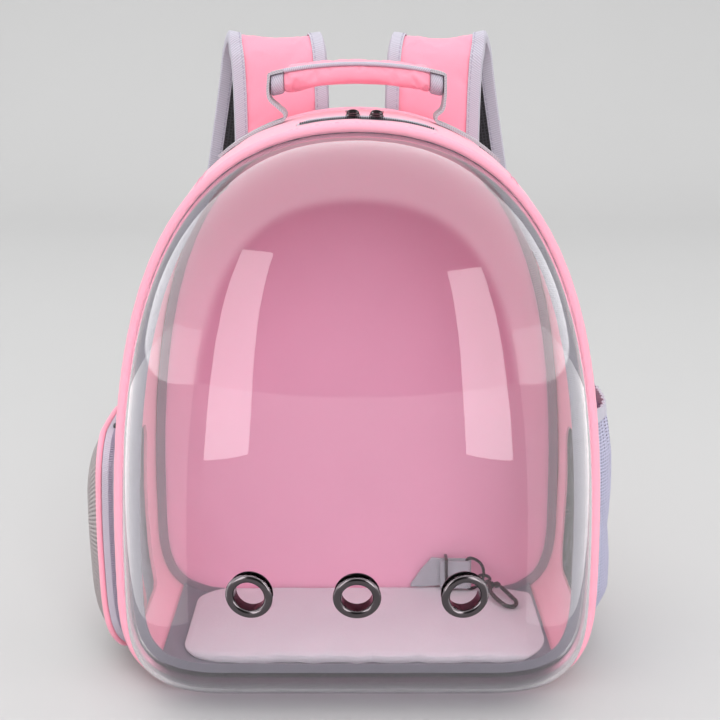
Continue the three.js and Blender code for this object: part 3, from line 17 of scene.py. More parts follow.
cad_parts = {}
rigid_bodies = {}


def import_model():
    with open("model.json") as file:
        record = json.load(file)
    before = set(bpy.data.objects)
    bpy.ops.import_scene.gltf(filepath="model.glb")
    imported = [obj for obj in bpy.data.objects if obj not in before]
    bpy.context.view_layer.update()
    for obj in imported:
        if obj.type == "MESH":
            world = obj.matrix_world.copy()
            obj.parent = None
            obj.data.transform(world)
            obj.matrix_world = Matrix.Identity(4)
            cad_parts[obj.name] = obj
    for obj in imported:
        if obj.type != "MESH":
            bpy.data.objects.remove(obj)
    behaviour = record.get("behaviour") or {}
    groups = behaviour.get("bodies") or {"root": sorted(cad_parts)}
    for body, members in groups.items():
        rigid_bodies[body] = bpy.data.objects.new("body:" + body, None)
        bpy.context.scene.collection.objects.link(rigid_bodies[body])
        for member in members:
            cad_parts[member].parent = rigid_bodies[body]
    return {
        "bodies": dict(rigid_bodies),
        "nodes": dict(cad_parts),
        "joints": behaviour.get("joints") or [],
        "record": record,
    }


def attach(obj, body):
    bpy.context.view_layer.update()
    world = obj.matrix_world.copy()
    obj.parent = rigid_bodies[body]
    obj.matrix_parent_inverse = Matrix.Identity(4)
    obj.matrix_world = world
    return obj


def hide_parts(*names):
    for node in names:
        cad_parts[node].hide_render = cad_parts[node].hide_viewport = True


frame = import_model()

MM = 0.001
TURN = 2 * math.pi
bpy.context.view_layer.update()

# %% [markdown]
# ## The outline that everything follows
# Seen from the front, the bag is an arch on a flat base. Two Bezier curves describe each half: one round
# the lower corner and one up the side to the top. A table of points along the half outline, with the
# direction at each, turns a distance along the edge into a place. All lengths are millimetres here.

# %% Outline of the shell
BODY_HALF_WIDTH = 175.0
BODY_HEIGHT = 418.0
BODY_DEPTH = 152.0
BASE_FLAT_HALF = 100.0
WIDEST_HEIGHT = 90.0
CORNER_RUN = 1.05
CORNER_DROP = 0.48
SHOULDER_RISE = 0.54
CROWN_SPREAD = 0.85
SIDE_PUFF = 3.0
PUFF_START = 40.0
PUFF_END = 130.0
WALL = 3.0
GAP = 0.3
FRONT_Y = -BODY_DEPTH / 2
BACK_Y = BODY_DEPTH / 2


def bezier(points, steps):
    t = np.linspace(0, 1, steps)[:, None]
    a, b, c, d = (np.array(p, float) for p in points)
    place = (1 - t) ** 3 * a + 3 * (1 - t) ** 2 * t * b + 3 * (1 - t) * t**2 * c + t**3 * d
    way = (1 - t) ** 2 * (b - a) + 2 * (1 - t) * t * (c - b) + t**2 * (d - c)
    return place, way / np.linalg.norm(way, axis=1)[:, None]


def half_outline():
    above = BODY_HEIGHT - WIDEST_HEIGHT
    start, side = (BASE_FLAT_HALF, 0), (BODY_HALF_WIDTH, WIDEST_HEIGHT)
    run = BASE_FLAT_HALF + CORNER_RUN * (BODY_HALF_WIDTH - BASE_FLAT_HALF)
    base = bezier([(0, 0), (BASE_FLAT_HALF / 3, 0), (2 * BASE_FLAT_HALF / 3, 0), start], 60)
    corner = bezier([start, (run, 0), (BODY_HALF_WIDTH, WIDEST_HEIGHT * (1 - CORNER_DROP)), side], 300)
    shoulder = bezier([side, (BODY_HALF_WIDTH, WIDEST_HEIGHT + SHOULDER_RISE * above),
                       (CROWN_SPREAD * BODY_HALF_WIDTH, BODY_HEIGHT), (0, BODY_HEIGHT)], 900)
    places = np.vstack([p[0] for p in (base, corner, shoulder)])
    ways = np.vstack([p[1] for p in (base, corner, shoulder)])
    steps = np.linalg.norm(np.diff(places, axis=0), axis=1)
    return np.concatenate([[0], np.cumsum(steps)]), places, ways


LENGTHS, PLACES, WAYS = half_outline()
HALF = LENGTHS[-1]


def outline(s, out=0.0):
    """x and z at a distance s from the middle of the base, +s up the right side, out off the edge."""
    length = np.abs(s)
    px, pz, tx, tz = (np.interp(length, LENGTHS, c) for c in (*PLACES.T, *WAYS.T))
    side = np.where(np.asarray(s) < 0, -1.0, 1.0)
    return side * (px + out * tz), pz - out * tx


def smoothstep(x, low, high):
    t = np.clip((np.asarray(x, float) - low) / (high - low), 0, 1)
    return t * t * (3 - 2 * t)


def puff(height, y):
    return SIDE_PUFF * smoothstep(height, PUFF_START, PUFF_END) * np.maximum(0, 1 - (y / BACK_Y) ** 2)


def wall(s, y, out=0.0):
    """Points on the side wall, out off its outer face, as an array with x, y and z last."""
    s, y, out = np.broadcast_arrays(*(np.asarray(v, float) for v in (s, y, out)))
    x, z = outline(s, out + puff(outline(s)[1], y))
    return np.stack([x, y, z], axis=-1)


def crown_s(d):
    """The outline distance of a place d away from the top of the arch, positive to the right."""
    return np.where(np.asarray(d) < 0, -1.0, 1.0) * (HALF - np.abs(d))


def s_at_height(height):
    rising = LENGTHS > LENGTHS[59]
    return float(np.interp(height, PLACES[rising, 1], LENGTHS[rising]))


print("half outline", round(HALF, 1), "mm")

# %% [markdown]
# ## Turning rows of points into meshes
# Nearly every piece here is a row of rings, such as the sections of a strap. One helper joins the rings
# with quads, closes what has to be closed, and lays out a UV map in real metres, so that a weave keeps
# its scale and follows the cloth.

# %% Mesh helpers
SMOOTH_ANGLE = math.radians(38)
BEVEL_ANGLE = math.radians(35)
SIM_FRAMES = 20


def linked(name, data):
    """A new object in the scene, at the origin."""
    piece = bpy.data.objects.new(name, data)
    bpy.context.scene.collection.objects.link(piece)
    return piece


def smoothed(mesh):
    mesh.shade_smooth()
    mesh.set_sharp_from_angle(angle=SMOOTH_ANGLE)


def placed(piece, place):
    """Moves a piece into a place whose lengths are millimetres."""
    piece.data.transform(Matrix.Scale(MM, 4) @ place @ Matrix.Scale(1 / MM, 4))
    return piece


def round_angles(count):
    return np.linspace(0, TURN, count, endpoint=False)


def loft(name, rings, ends_joined=False):
    """A mesh through rings of equal point count, in millimetres, with its cloth UV in metres."""
    rings = np.asarray(rings, float)
    rows, count = rings.shape[:2]
    faces, uvs = [], []
    around = np.linalg.norm(np.diff(np.concatenate([rings, rings[:, :1]], 1), axis=1), axis=2).mean(0)
    along = np.linalg.norm(np.diff(np.concatenate([rings, rings[:1]], 0), axis=0), axis=2).mean(1)
    u = np.concatenate([[0], np.cumsum(around)]) * MM
    v = np.concatenate([[0], np.cumsum(along)]) * MM
    for r in range(rows if ends_joined else rows - 1):
        far = (r + 1) % rows
        for i in range(count):
            j = (i + 1) % count
            faces.append((r * count + i, r * count + j, far * count + j, far * count + i))
            uvs += [(u[i], v[r]), (u[i + 1], v[r]), (u[i + 1], v[r + 1]), (u[i], v[r + 1])]
    if not ends_joined:
        for r in (0, rows - 1):
            faces.append(tuple(range(r * count, (r + 1) * count)))
            uvs += [(u[i], v[r]) for i in range(count)]
    mesh = bpy.data.meshes.new(name)
    mesh.from_pydata((rings.reshape(-1, 3) * MM).tolist(), [], faces)
    layer = mesh.uv_layers.new(name="cloth")
    layer.data.foreach_set("uv", np.array(uvs).ravel())
    return finish_mesh(name, mesh)


def finish_mesh(name, mesh):
    """Points the faces outwards, shades them and puts the mesh in an object at the origin."""
    bm = bmesh.new()
    bm.from_mesh(mesh)
    bmesh.ops.remove_doubles(bm, verts=bm.verts, dist=1e-7)
    bmesh.ops.recalc_face_normals(bm, faces=bm.faces)
    bm.to_mesh(mesh)
    bm.free()
    smoothed(mesh)
    return linked(name, mesh)


def baked(piece):
    """The piece as a plain mesh, with its modifiers applied and removed."""
    bpy.context.view_layer.update()
    graph = bpy.context.evaluated_depsgraph_get()
    mesh = bpy.data.meshes.new_from_object(piece.evaluated_get(graph), depsgraph=graph)
    piece.modifiers.clear()
    piece.data = mesh
    return piece


def carve(piece, *cutters):
    """Cuts other closed meshes out of a piece and deletes them."""
    for cutter in cutters:
        cut = piece.modifiers.new("cut", "BOOLEAN")
        cut.operation, cut.solver, cut.object = "DIFFERENCE", "EXACT", cutter
    baked(piece)
    for cutter in cutters:
        bpy.data.objects.remove(cutter)
    smoothed(piece.data)
    return piece


def soften(piece, width, segments=2):
    """Rounds a piece's sharp edges by width millimetres."""
    bevel = piece.modifiers.new("soft edges", "BEVEL")
    bevel.width, bevel.segments, bevel.limit_method = width * MM, segments, "ANGLE"
    bevel.angle_limit = BEVEL_ANGLE
    baked(piece)
    smoothed(piece.data)
    return piece


def joined(name, parts):
    """Several objects as one mesh."""
    bm = bmesh.new()
    for part in parts:
        part.data.transform(part.matrix_world)
        bm.from_mesh(part.data)
    mesh = bpy.data.meshes.new(name)
    bm.to_mesh(mesh)
    bm.free()
    for part in parts:
        bpy.data.objects.remove(part)
    return linked(name, mesh)


def done(piece, finish, slot, *nodes, body="shell"):
    """Gives a piece its finish and its place on a body, and hides the solids that it stands for."""
    piece.data.materials.clear()
    piece.data.materials.append(finish)
    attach(piece, body)
    if nodes:
        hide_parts(*nodes)
    print(piece.name, len(piece.data.polygons), "faces")
    return piece


def swollen(piece, held, pressure, loose, cap):
    """Lets a padded piece swell and crease by cloth simulation. held pins its seams, point by point."""
    mesh, scene = piece.data, bpy.context.scene
    rest = np.array([v.co for v in mesh.vertices])
    seams = piece.vertex_groups.new(name="seams")
    for index, weight in enumerate(held(rest / MM)):
        seams.add([index], float(weight), "REPLACE")
    cloth = piece.modifiers.new("padding", "CLOTH")
    cloth.settings.vertex_group_mass = "seams"
    cloth.settings.use_pressure, cloth.settings.uniform_pressure_force = True, pressure
    cloth.settings.effector_weights.gravity = 0
    cloth.settings.shrink_min = -loose
    for frame in range(1, SIM_FRAMES + 1):
        scene.frame_set(frame)
    graph = bpy.context.evaluated_depsgraph_get()
    shaped = piece.evaluated_get(graph).to_mesh()
    move = np.array([v.co for v in shaped.vertices]) - rest
    piece.evaluated_get(graph).to_mesh_clear()
    length = np.linalg.norm(move, axis=1)
    move *= np.minimum(1, cap * MM / np.maximum(length, 1e-9))[:, None]
    mesh.vertices.foreach_set("co", (rest + move).ravel())
    piece.modifiers.clear()
    piece.vertex_groups.clear()
    scene.frame_set(1)
    mesh.update()
    print(piece.name, "moved up to", round(float(length.max()) / MM, 2), "mm, held to", cap)
    return piece


def waves(points, scale, seed=0.0):
    """Smooth noise between -1 and 1 at each point of an array, over scale millimetres."""
    flat = np.asarray(points, float).reshape(-1, 3) / scale
    values = [noise.noise(Vector((p[0] + seed, p[1] - 0.7 * seed, p[2] + 0.3 * seed))) for p in flat]
    return np.array(values).reshape(np.asarray(points).shape[:-1])


# %% [markdown]
# ## Effects that the finishes share
# Cloth, tape, mesh and metal share a few surface effects. Each is a node group with named inputs, built
# once: a woven grid, ribs across a tape, a net of round holes, a short pile and a slow change of tone.
# A group only puts out heights, masks and tones, and each material mixes its own colours with them.

# %% Node helpers
def colour(r, g, b, alpha=1.0):
    """A screen colour of 0 to 255 as the linear colour that a shader takes."""
    def linear(c):
        c /= 255
        return c / 12.92 if c <= 0.04045 else ((c + 0.055) / 1.055) ** 2.4
    return (linear(r), linear(g), linear(b), alpha)


def add_node(tree, kind, values=None, **settings):
    new = tree.nodes.new(kind)
    for key, value in settings.items():
        setattr(new, key, value)
    for key, value in (values or {}).items():
        if isinstance(value, bpy.types.NodeSocket):
            tree.links.new(value, new.inputs[key])
        else:
            new.inputs[key].default_value = value
    return new


def maths(tree, operation, a, b=0.0):
    return add_node(tree, "ShaderNodeMath", {0: a, 1: b}, operation=operation).outputs[0]


def new_group(name, inputs, outputs):
    """An empty shader group with float inputs and outputs, and its two end nodes."""
    tree = bpy.data.node_groups.new(name, "ShaderNodeTree")
    tree.interface.new_socket("Vector", in_out="INPUT", socket_type="NodeSocketVector")
    for label, value in inputs.items():
        socket = tree.interface.new_socket(label, in_out="INPUT", socket_type="NodeSocketFloat")
        socket.default_value = value
    for label in outputs:
        tree.interface.new_socket(label, in_out="OUTPUT", socket_type="NodeSocketFloat")
    return tree, tree.nodes.new("NodeGroupInput"), tree.nodes.new("NodeGroupOutput")


# %% Woven cloth and ribbed tape
def woven_group():
    """Height of a plain weave, and the tone of its uneven yarns."""
    tree, start, end = new_group("Woven cloth", {"Threads per metre": 1800.0}, ["Height", "Tone"])
    scaled = add_node(tree, "ShaderNodeVectorMath", {0: start.outputs["Vector"]}, operation="SCALE")
    tree.links.new(maths(tree, "MULTIPLY", start.outputs["Threads per metre"], math.pi),
                   scaled.inputs["Scale"])
    axes = add_node(tree, "ShaderNodeSeparateXYZ", {0: scaled.outputs[0]})
    over = maths(tree, "MULTIPLY", maths(tree, "SINE", axes.outputs[0]),
                 maths(tree, "SINE", axes.outputs[1]))
    tree.links.new(maths(tree, "MULTIPLY_ADD", over, 0.5), end.inputs["Height"])
    tree.nodes[-1].inputs[2].default_value = 0.5
    yarn = add_node(tree, "ShaderNodeTexNoise",
                    {"Vector": start.outputs["Vector"], "Scale": 900.0, "Detail": 2.0})
    tree.links.new(yarn.outputs["Fac"], end.inputs["Tone"])
    return tree


def ribbed_group():
    """Height of ribs across a tape, every pitch metres along V."""
    tree, start, end = new_group("Ribbed tape", {"Pitch": 0.0015}, ["Height"])
    axes = add_node(tree, "ShaderNodeSeparateXYZ", {0: start.outputs["Vector"]})
    turns = maths(tree, "DIVIDE", axes.outputs[1], start.outputs["Pitch"])
    slope = maths(tree, "MULTIPLY_ADD", axes.outputs[0], 300.0)
    tree.links.new(turns, tree.nodes[-1].inputs[2])
    wave = maths(tree, "SINE", maths(tree, "MULTIPLY", slope, TURN))
    tree.links.new(maths(tree, "MULTIPLY_ADD", wave, 0.5), end.inputs["Height"])
    tree.nodes[-1].inputs[2].default_value = 0.5
    return tree


def net_group():
    """Mask of a net: 1 on its threads and 0 in its holes, every pitch metres."""
    tree, start, end = new_group("Open net", {"Pitch": 0.0022, "Hole": 0.33}, ["Thread", "Height"])
    inverse = maths(tree, "DIVIDE", 1.0, start.outputs["Pitch"])
    scaled = add_node(tree, "ShaderNodeVectorMath", {0: start.outputs["Vector"]}, operation="SCALE")
    tree.links.new(inverse, scaled.inputs["Scale"])
    cells = add_node(tree, "ShaderNodeTexVoronoi",
                     {"Vector": scaled.outputs[0], "Scale": 1.0, "Randomness": 0.12},
                     voronoi_dimensions="2D", feature="F1")
    away = cells.outputs["Distance"]
    rim = maths(tree, "SUBTRACT", away, start.outputs["Hole"])
    tree.links.new(add_node(tree, "ShaderNodeMapRange", {0: rim, 1: -0.04, 2: 0.06}).outputs[0],
                   end.inputs["Thread"])
    tree.links.new(add_node(tree, "ShaderNodeMapRange", {0: rim, 1: 0.0, 2: 0.35}).outputs[0],
                   end.inputs["Height"])
    return tree


# %% Pile, metal grain and slow tone
def pile_group():
    """Height and tone of a short brushed pile."""
    tree, start, end = new_group("Short pile", {"Tufts per metre": 420.0}, ["Height", "Tone"])
    tufts = add_node(tree, "ShaderNodeTexNoise", {
        "Vector": start.outputs["Vector"], "Scale": start.outputs["Tufts per metre"], "Detail": 5.0,
        "Roughness": 0.7})
    patches = add_node(tree, "ShaderNodeTexNoise",
                       {"Vector": start.outputs["Vector"], "Scale": 26.0, "Detail": 2.0})
    tree.links.new(tufts.outputs["Fac"], end.inputs["Height"])
    tree.links.new(patches.outputs["Fac"], end.inputs["Tone"])
    return tree


def tone_group():
    """A slow change of tone over the piece, between 0 and 1, with a little dust in it."""
    tree, start, end = new_group("Slow tone", {"Scale": 14.0}, ["Tone"])
    slow = add_node(tree, "ShaderNodeTexNoise", {
        "Vector": start.outputs["Vector"], "Scale": start.outputs["Scale"], "Detail": 3.0,
        "Roughness": 0.6})
    tree.links.new(slow.outputs["Fac"], end.inputs["Tone"])
    return tree


WOVEN = woven_group()
RIBBED = ribbed_group()
NET = net_group()
PILE = pile_group()
TONE = tone_group()
print("effects", [g.name for g in (WOVEN, RIBBED, NET, PILE, TONE)])

# %% [markdown]
# ## The finishes
# The pinks are a fine woven cloth with a soft sheen, the bindings and webbing are ribbed tape, and the
# windows are nets with real holes in their alpha. The dome is thin clear plastic: it passes light from
# the lamps straight through, so that the inside is lit as through a real window.

# %% Cloth finishes
def begin(name, base, rough, **sockets):
    """A material with its Principled shader, and the sources that the effects read."""
    finish = bpy.data.materials.new(name)
    finish.use_nodes = True
    tree = finish.node_tree
    shader = tree.nodes["Principled BSDF"]
    shader.inputs["Base Color"].default_value = base
    shader.inputs["Roughness"].default_value = rough
    for key, value in sockets.items():
        shader.inputs[key.replace("_", " ")].default_value = value
    return finish, tree, shader


def effect(tree, group, vector, **values):
    used = add_node(tree, "ShaderNodeGroup", node_tree=group)
    tree.links.new(vector, used.inputs["Vector"])
    for key, value in values.items():
        used.inputs[key.replace("_", " ")].default_value = value
    return used


def toned(tree, shader, fac, dark, light):
    """Lets a tone from 0 to 1 mix the base colour."""
    mix = add_node(tree, "ShaderNodeMix", {"Factor": fac}, data_type="RGBA")
    mix.inputs[6].default_value, mix.inputs[7].default_value = dark, light
    tree.links.new(mix.outputs[2], shader.inputs["Base Color"])


def bumped(tree, shader, height, strength, distance):
    bump = add_node(tree, "ShaderNodeBump", {"Height": height, "Strength": strength, "Distance": distance})
    tree.links.new(bump.outputs[0], shader.inputs["Normal"])


def cloth_uv(tree):
    return add_node(tree, "ShaderNodeUVMap", uv_map="cloth").outputs[0]


def object_place(tree):
    return add_node(tree, "ShaderNodeTexCoord").outputs["Object"]


def woven_cloth(name, base, threads, depth, sheen=0.25, rough=0.82, tone=0.08):
    """Plain woven cloth: a grid of threads, uneven yarns and a slow change of tone."""
    finish, tree, shader = begin(name, base, rough, Sheen_Weight=sheen, Sheen_Roughness=0.5)
    weave = effect(tree, WOVEN, cloth_uv(tree), Threads_per_metre=threads)
    slow = effect(tree, TONE, object_place(tree), Scale=16.0)
    both = maths(tree, "MULTIPLY_ADD", weave.outputs["Tone"], 0.45)
    tree.links.new(maths(tree, "MULTIPLY", slow.outputs["Tone"], 0.55), tree.nodes[-2].inputs[2])
    dark = tuple(c * (1 - tone * 1.4) for c in base[:3]) + (1,)
    light = tuple(min(1, c * (1 + tone)) for c in base[:3]) + (1,)
    toned(tree, shader, both, dark, light)
    bumped(tree, shader, weave.outputs["Height"], 0.5, depth)
    return finish


def ribbed_tape(name, base, pitch, depth, rough=0.75):
    """Woven tape with ribs that slant a little across it."""
    finish, tree, shader = begin(name, base, rough, Sheen_Weight=0.2)
    ribs = effect(tree, RIBBED, cloth_uv(tree), Pitch=pitch)
    dark = tuple(c * 0.72 for c in base[:3]) + (1,)
    # Painted shade: the grooves between the ribs are darker than the rib tops.
    toned(tree, shader, ribs.outputs["Height"], dark, base)
    bumped(tree, shader, ribs.outputs["Height"], 0.6, depth)
    return finish


def netting(name, base, under, pitch, hole, see_through):
    """Net cloth. see_through opens its holes, and otherwise the under colour, which is painted shade, fills
    them.
    """
    finish, tree, shader = begin(name, base, 0.85)
    net = effect(tree, NET, cloth_uv(tree), Pitch=pitch, Hole=hole)
    # Painted shade: the under colour darkens the holes and the rims of the threads, where the net lies in
    # its own shade.
    toned(tree, shader, net.outputs["Thread"], under, base)
    bumped(tree, shader, net.outputs["Height"], 0.7, 0.0006)
    if see_through:
        tree.links.new(net.outputs["Thread"], shader.inputs["Alpha"])
    return finish


pink_cloth = woven_cloth("pink cloth", colour(250, 170, 190), 1500, 0.00016)
pink_lining = woven_cloth("pink lining", colour(243, 171, 198), 1700, 0.00003, sheen=0.1, tone=0.03)
strap_pink = woven_cloth("strap pink cloth", colour(252, 156, 178), 1300, 0.0002)
pink_cord_cloth = woven_cloth("pink piping cloth", colour(250, 166, 187), 1500, 0.00016)
lilac_tape = ribbed_tape("lilac tape", colour(196, 192, 206), 0.0016, 0.00025)
grey_tape = ribbed_tape("grey tape", colour(126, 122, 134), 0.0016, 0.0002)
back_tape_cloth = ribbed_tape("back tape", colour(160, 138, 152), 0.0016, 0.0002)
zip_tape_cloth = ribbed_tape("zip tape cloth", colour(190, 186, 198), 0.0012, 0.00015)
grey_webbing = ribbed_tape("grey webbing", colour(184, 183, 190), 0.0018, 0.0003)
black_net = netting("black net", colour(38, 36, 42), colour(12, 11, 14), 0.0024, 0.3, True)
grey_net = netting("grey net", colour(176, 167, 168), colour(110, 102, 106), 0.0024, 0.24, True)
lilac_net = netting("lilac net", colour(196, 194, 220), colour(150, 148, 176), 0.0026, 0.24, True)
strap_net = netting("strap net", colour(40, 37, 44), colour(10, 9, 12), 0.0026, 0.3, False)

# %% Mat, metal, plastic and dome finishes
def pile_cloth(name, base, dark):
    """A short brushed pile, darker where it is pressed."""
    finish, tree, shader = begin(name, base, 0.95, Sheen_Weight=0.5, Sheen_Roughness=0.6)
    pile = effect(tree, PILE, object_place(tree))
    toned(tree, shader, pile.outputs["Tone"], dark, base)
    bumped(tree, shader, pile.outputs["Height"], 0.35, 0.0012)
    return finish


def plated(name, base, rough):
    """Polished dark plating with faint handling marks in its gloss."""
    finish, tree, shader = begin(name, base, rough, Metallic=1.0)
    marks = effect(tree, TONE, object_place(tree), Scale=180.0)
    spread = add_node(tree, "ShaderNodeMapRange",
                      {0: marks.outputs["Tone"], 3: rough * 0.7, 4: rough * 1.5})
    tree.links.new(spread.outputs[0], shader.inputs["Roughness"])
    return finish


def moulded(name, base, rough):
    """Moulded plastic with a fine grain."""
    finish, tree, shader = begin(name, base, rough)
    grain = effect(tree, TONE, object_place(tree), Scale=900.0)
    toned(tree, shader, grain.outputs["Tone"], tuple(c * 0.8 for c in base[:3]) + (1,), base)
    bumped(tree, shader, grain.outputs["Tone"], 0.3, 0.0001)
    return finish


# The darker colour at the dome's foot is painted shade. It stands in for the dark rim and lining seen
# through the curved plastic, and is not a tint of the plastic.
DOME_TINT = (0.97, 0.965, 0.985, 1)
DOME_FOOT_PAINTED_SHADE = colour(86, 76, 96)
DOME_FOOT_LOW = 0.014
DOME_FOOT_HIGH = 0.027


def clear_plastic(name):
    """Thin clear plastic with painted shade that darkens its foot, which lets lamps light what is behind
    it.
    """
    finish, tree, shader = begin(name, DOME_TINT, 0.02, Transmission_Weight=1.0, IOR=1.42)
    place = add_node(tree, "ShaderNodeSeparateXYZ", {0: object_place(tree)})
    foot_shade = add_node(tree, "ShaderNodeMapRange", {0: place.outputs[2], 1: DOME_FOOT_LOW, 2: DOME_FOOT_HIGH})
    # Painted shade: the base colour darkens from the clear tint towards the dome's foot.
    toned(tree, shader, foot_shade.outputs[0], DOME_FOOT_PAINTED_SHADE, DOME_TINT)
    streaks = effect(tree, TONE, object_place(tree), Scale=9.0)
    spread = add_node(tree, "ShaderNodeMapRange",
                      {0: streaks.outputs["Tone"], 1: 0.35, 2: 0.75, 3: 0.012, 4: 0.05})
    tree.links.new(spread.outputs[0], shader.inputs["Roughness"])
    passing = add_node(tree, "ShaderNodeBsdfTransparent", {"Color": (0.93, 0.92, 0.94, 1)})
    rays = add_node(tree, "ShaderNodeLightPath")
    mix = add_node(tree, "ShaderNodeMixShader", {0: rays.outputs["Is Shadow Ray"]})
    tree.links.new(shader.outputs[0], mix.inputs[1])
    tree.links.new(passing.outputs[0], mix.inputs[2])
    tree.links.new(mix.outputs[0], tree.nodes["Material Output"].inputs["Surface"])
    return finish


mat_pile = pile_cloth("mat pile", colour(216, 209, 215), colour(202, 194, 202))
gunmetal = plated("gunmetal plating", colour(88, 82, 85), 0.16)
black_plastic = moulded("black plastic", colour(34, 32, 36), 0.45)
coil_plastic = moulded("zip coil plastic", colour(44, 42, 48), 0.5)
pink_thread = moulded("pink thread", colour(238, 158, 188), 0.7)
lilac_thread = moulded("lilac thread", colour(168, 162, 182), 0.7)
clear_dome = clear_plastic("clear dome plastic")
print(len(bpy.data.materials), "materials")

# %% [markdown]
# ## Stitches and zip teeth
# Stitches and teeth repeat along a line at an even spacing, so Geometry Nodes lays them out. The input is
# a line of points that carries an attribute named out, the direction away from the cloth. The tree
# resamples the line, turns one small mesh along it and away from the cloth, and makes it all real.

# %% A tree that repeats a small mesh along a seam
def seam_tree():
    tree = bpy.data.node_groups.new("Repeat along a seam", "GeometryNodeTree")
    face = tree.interface
    face.new_socket("Geometry", in_out="INPUT", socket_type="NodeSocketGeometry")
    face.new_socket("Spacing", in_out="INPUT", socket_type="NodeSocketFloat").default_value = 0.004
    face.new_socket("Copy", in_out="INPUT", socket_type="NodeSocketObject")
    face.new_socket("Finish", in_out="INPUT", socket_type="NodeSocketMaterial")
    face.new_socket("Unevenness", in_out="INPUT", socket_type="NodeSocketFloat").default_value = 0.0
    face.new_socket("Geometry", in_out="OUTPUT", socket_type="NodeSocketGeometry")
    start, end = tree.nodes.new("NodeGroupInput"), tree.nodes.new("NodeGroupOutput")
    line = add_node(tree, "GeometryNodeMeshToCurve", {0: start.outputs["Geometry"]})
    even = add_node(tree, "GeometryNodeResampleCurve",
                    {"Curve": line.outputs[0], "Length": start.outputs["Spacing"]},
                    mode="LENGTH")
    tangent = tree.nodes.new("GeometryNodeInputTangent")
    out = add_node(tree, "GeometryNodeInputNamedAttribute", {"Name": "out"}, data_type="FLOAT_VECTOR")
    along = add_node(tree, "FunctionNodeAlignRotationToVector", {"Vector": tangent.outputs[0]}, axis="X")
    away = add_node(tree, "FunctionNodeAlignRotationToVector",
                    {"Rotation": along.outputs[0], "Vector": out.outputs[0]}, axis="Z", pivot_axis="X")
    wobble = add_node(tree, "FunctionNodeRandomValue", {"Seed": 7}, data_type="FLOAT_VECTOR")
    spread = add_node(tree, "ShaderNodeVectorMath", {0: (1, 1, 1)}, operation="SCALE")
    tree.links.new(start.outputs["Unevenness"], spread.inputs["Scale"])
    tree.links.new(spread.outputs[0], wobble.inputs["Max"])
    back = add_node(tree, "ShaderNodeVectorMath", {0: spread.outputs[0]}, operation="SCALE")
    back.inputs["Scale"].default_value = -1
    tree.links.new(back.outputs[0], wobble.inputs["Min"])
    turn = add_node(tree, "FunctionNodeRotateRotation", {0: away.outputs[0], 1: wobble.outputs[0]},
                    rotation_space="LOCAL")
    copy = add_node(tree, "GeometryNodeObjectInfo", {"Object": start.outputs["Copy"]})
    placed = add_node(tree, "GeometryNodeInstanceOnPoints",
                      {"Points": even.outputs[0], "Instance": copy.outputs["Geometry"],
                       "Rotation": turn.outputs[0]})
    real = add_node(tree, "GeometryNodeRealizeInstances", {0: placed.outputs[0]})
    painted = add_node(tree, "GeometryNodeSetMaterial",
                       {0: real.outputs[0], "Material": start.outputs["Finish"]})
    tree.links.new(painted.outputs[0], end.inputs[0])
    return tree


SEAM = seam_tree()
SEAM_SOCKETS = {s.name: s.identifier for s in SEAM.interface.items_tree if s.in_out == "INPUT"}


def small_mesh(name, length, width, height, taper=0.6):
    """A low pillow along X for a stitch or a tooth, 24 faces at most, in millimetres."""
    sections = [(-0.5, 0.35), (-0.3, 1.0), (0.3, 1.0), (0.5, 0.35)]
    around = [(-1, 0), (-taper, 0.8), (taper, 0.8), (1, 0), (taper, -0.3), (-taper, -0.3)]
    rings = [[(x * length, w * k * width / 2, h * k * height) for w, h in around] for x, k in sections]
    piece = loft(name, rings)
    piece.hide_render = True
    return piece


def along_seam(name, places, outs, copy, spacing, finish, uneven=0.0, closed=False):
    """Repeats copy along a line of places, turned away from the cloth. Returns a plain mesh object."""
    count = len(places)
    edges = [(i, (i + 1) % count) for i in range(count if closed else count - 1)]
    mesh = bpy.data.meshes.new(name)
    mesh.from_pydata((np.asarray(places, float) * MM).tolist(), edges, [])
    attribute = mesh.attributes.new("out", "FLOAT_VECTOR", "POINT")
    attribute.data.foreach_set("vector", np.asarray(outs, float).ravel())
    piece = linked(name, mesh)
    repeat = piece.modifiers.new("repeat", "NODES")
    repeat.node_group = SEAM
    repeat[SEAM_SOCKETS["Spacing"]] = spacing * MM
    repeat[SEAM_SOCKETS["Copy"]] = copy
    repeat[SEAM_SOCKETS["Finish"]] = finish
    repeat[SEAM_SOCKETS["Unevenness"]] = uneven
    return baked(piece)


STITCH = small_mesh("stitch_copy", 3.0, 0.7, 0.45)
TOOTH = small_mesh("tooth_copy", 1.1, 3.4, 1.2, taper=0.85)


def wall_out(s, y, lift=0.0):
    """Places on the wall with the directions off it."""
    near, far = wall(s, y, lift), wall(s, y, lift + 1.0)
    return near, far - near


print("stitch and tooth ready")

# %% [markdown]
# ## The padded side wall
# The wall is one long strip of padded pink cloth that runs round base, sides and arch, between two piped
# seams. The cloth puckers a little at the seams, because the stitches pull it in, and has a cross seam on
# each shoulder. The wall is a swept section. The door, window, zip slot and cable slit are cut out of it.

# %% Patches on the wall: the door and the window
DOOR_LOW = 24.0
DOOR_HIGH = 188.0
DOOR_HALF_DEPTH = 54.0
DOOR_CENTRE_Y = -8.0
DOOR_CORNER = 28.0
WINDOW_MARGIN = 12.0
WINDOW_CORNER = 22.0
WALL_STATIONS = 440
PLUG_REACH = 9.0
POCKET_LOW = 26.0
POCKET_HIGH = 198.0
POCKET_HALF_DEPTH = 56.0
POCKET_CENTRE_Y = -4.0


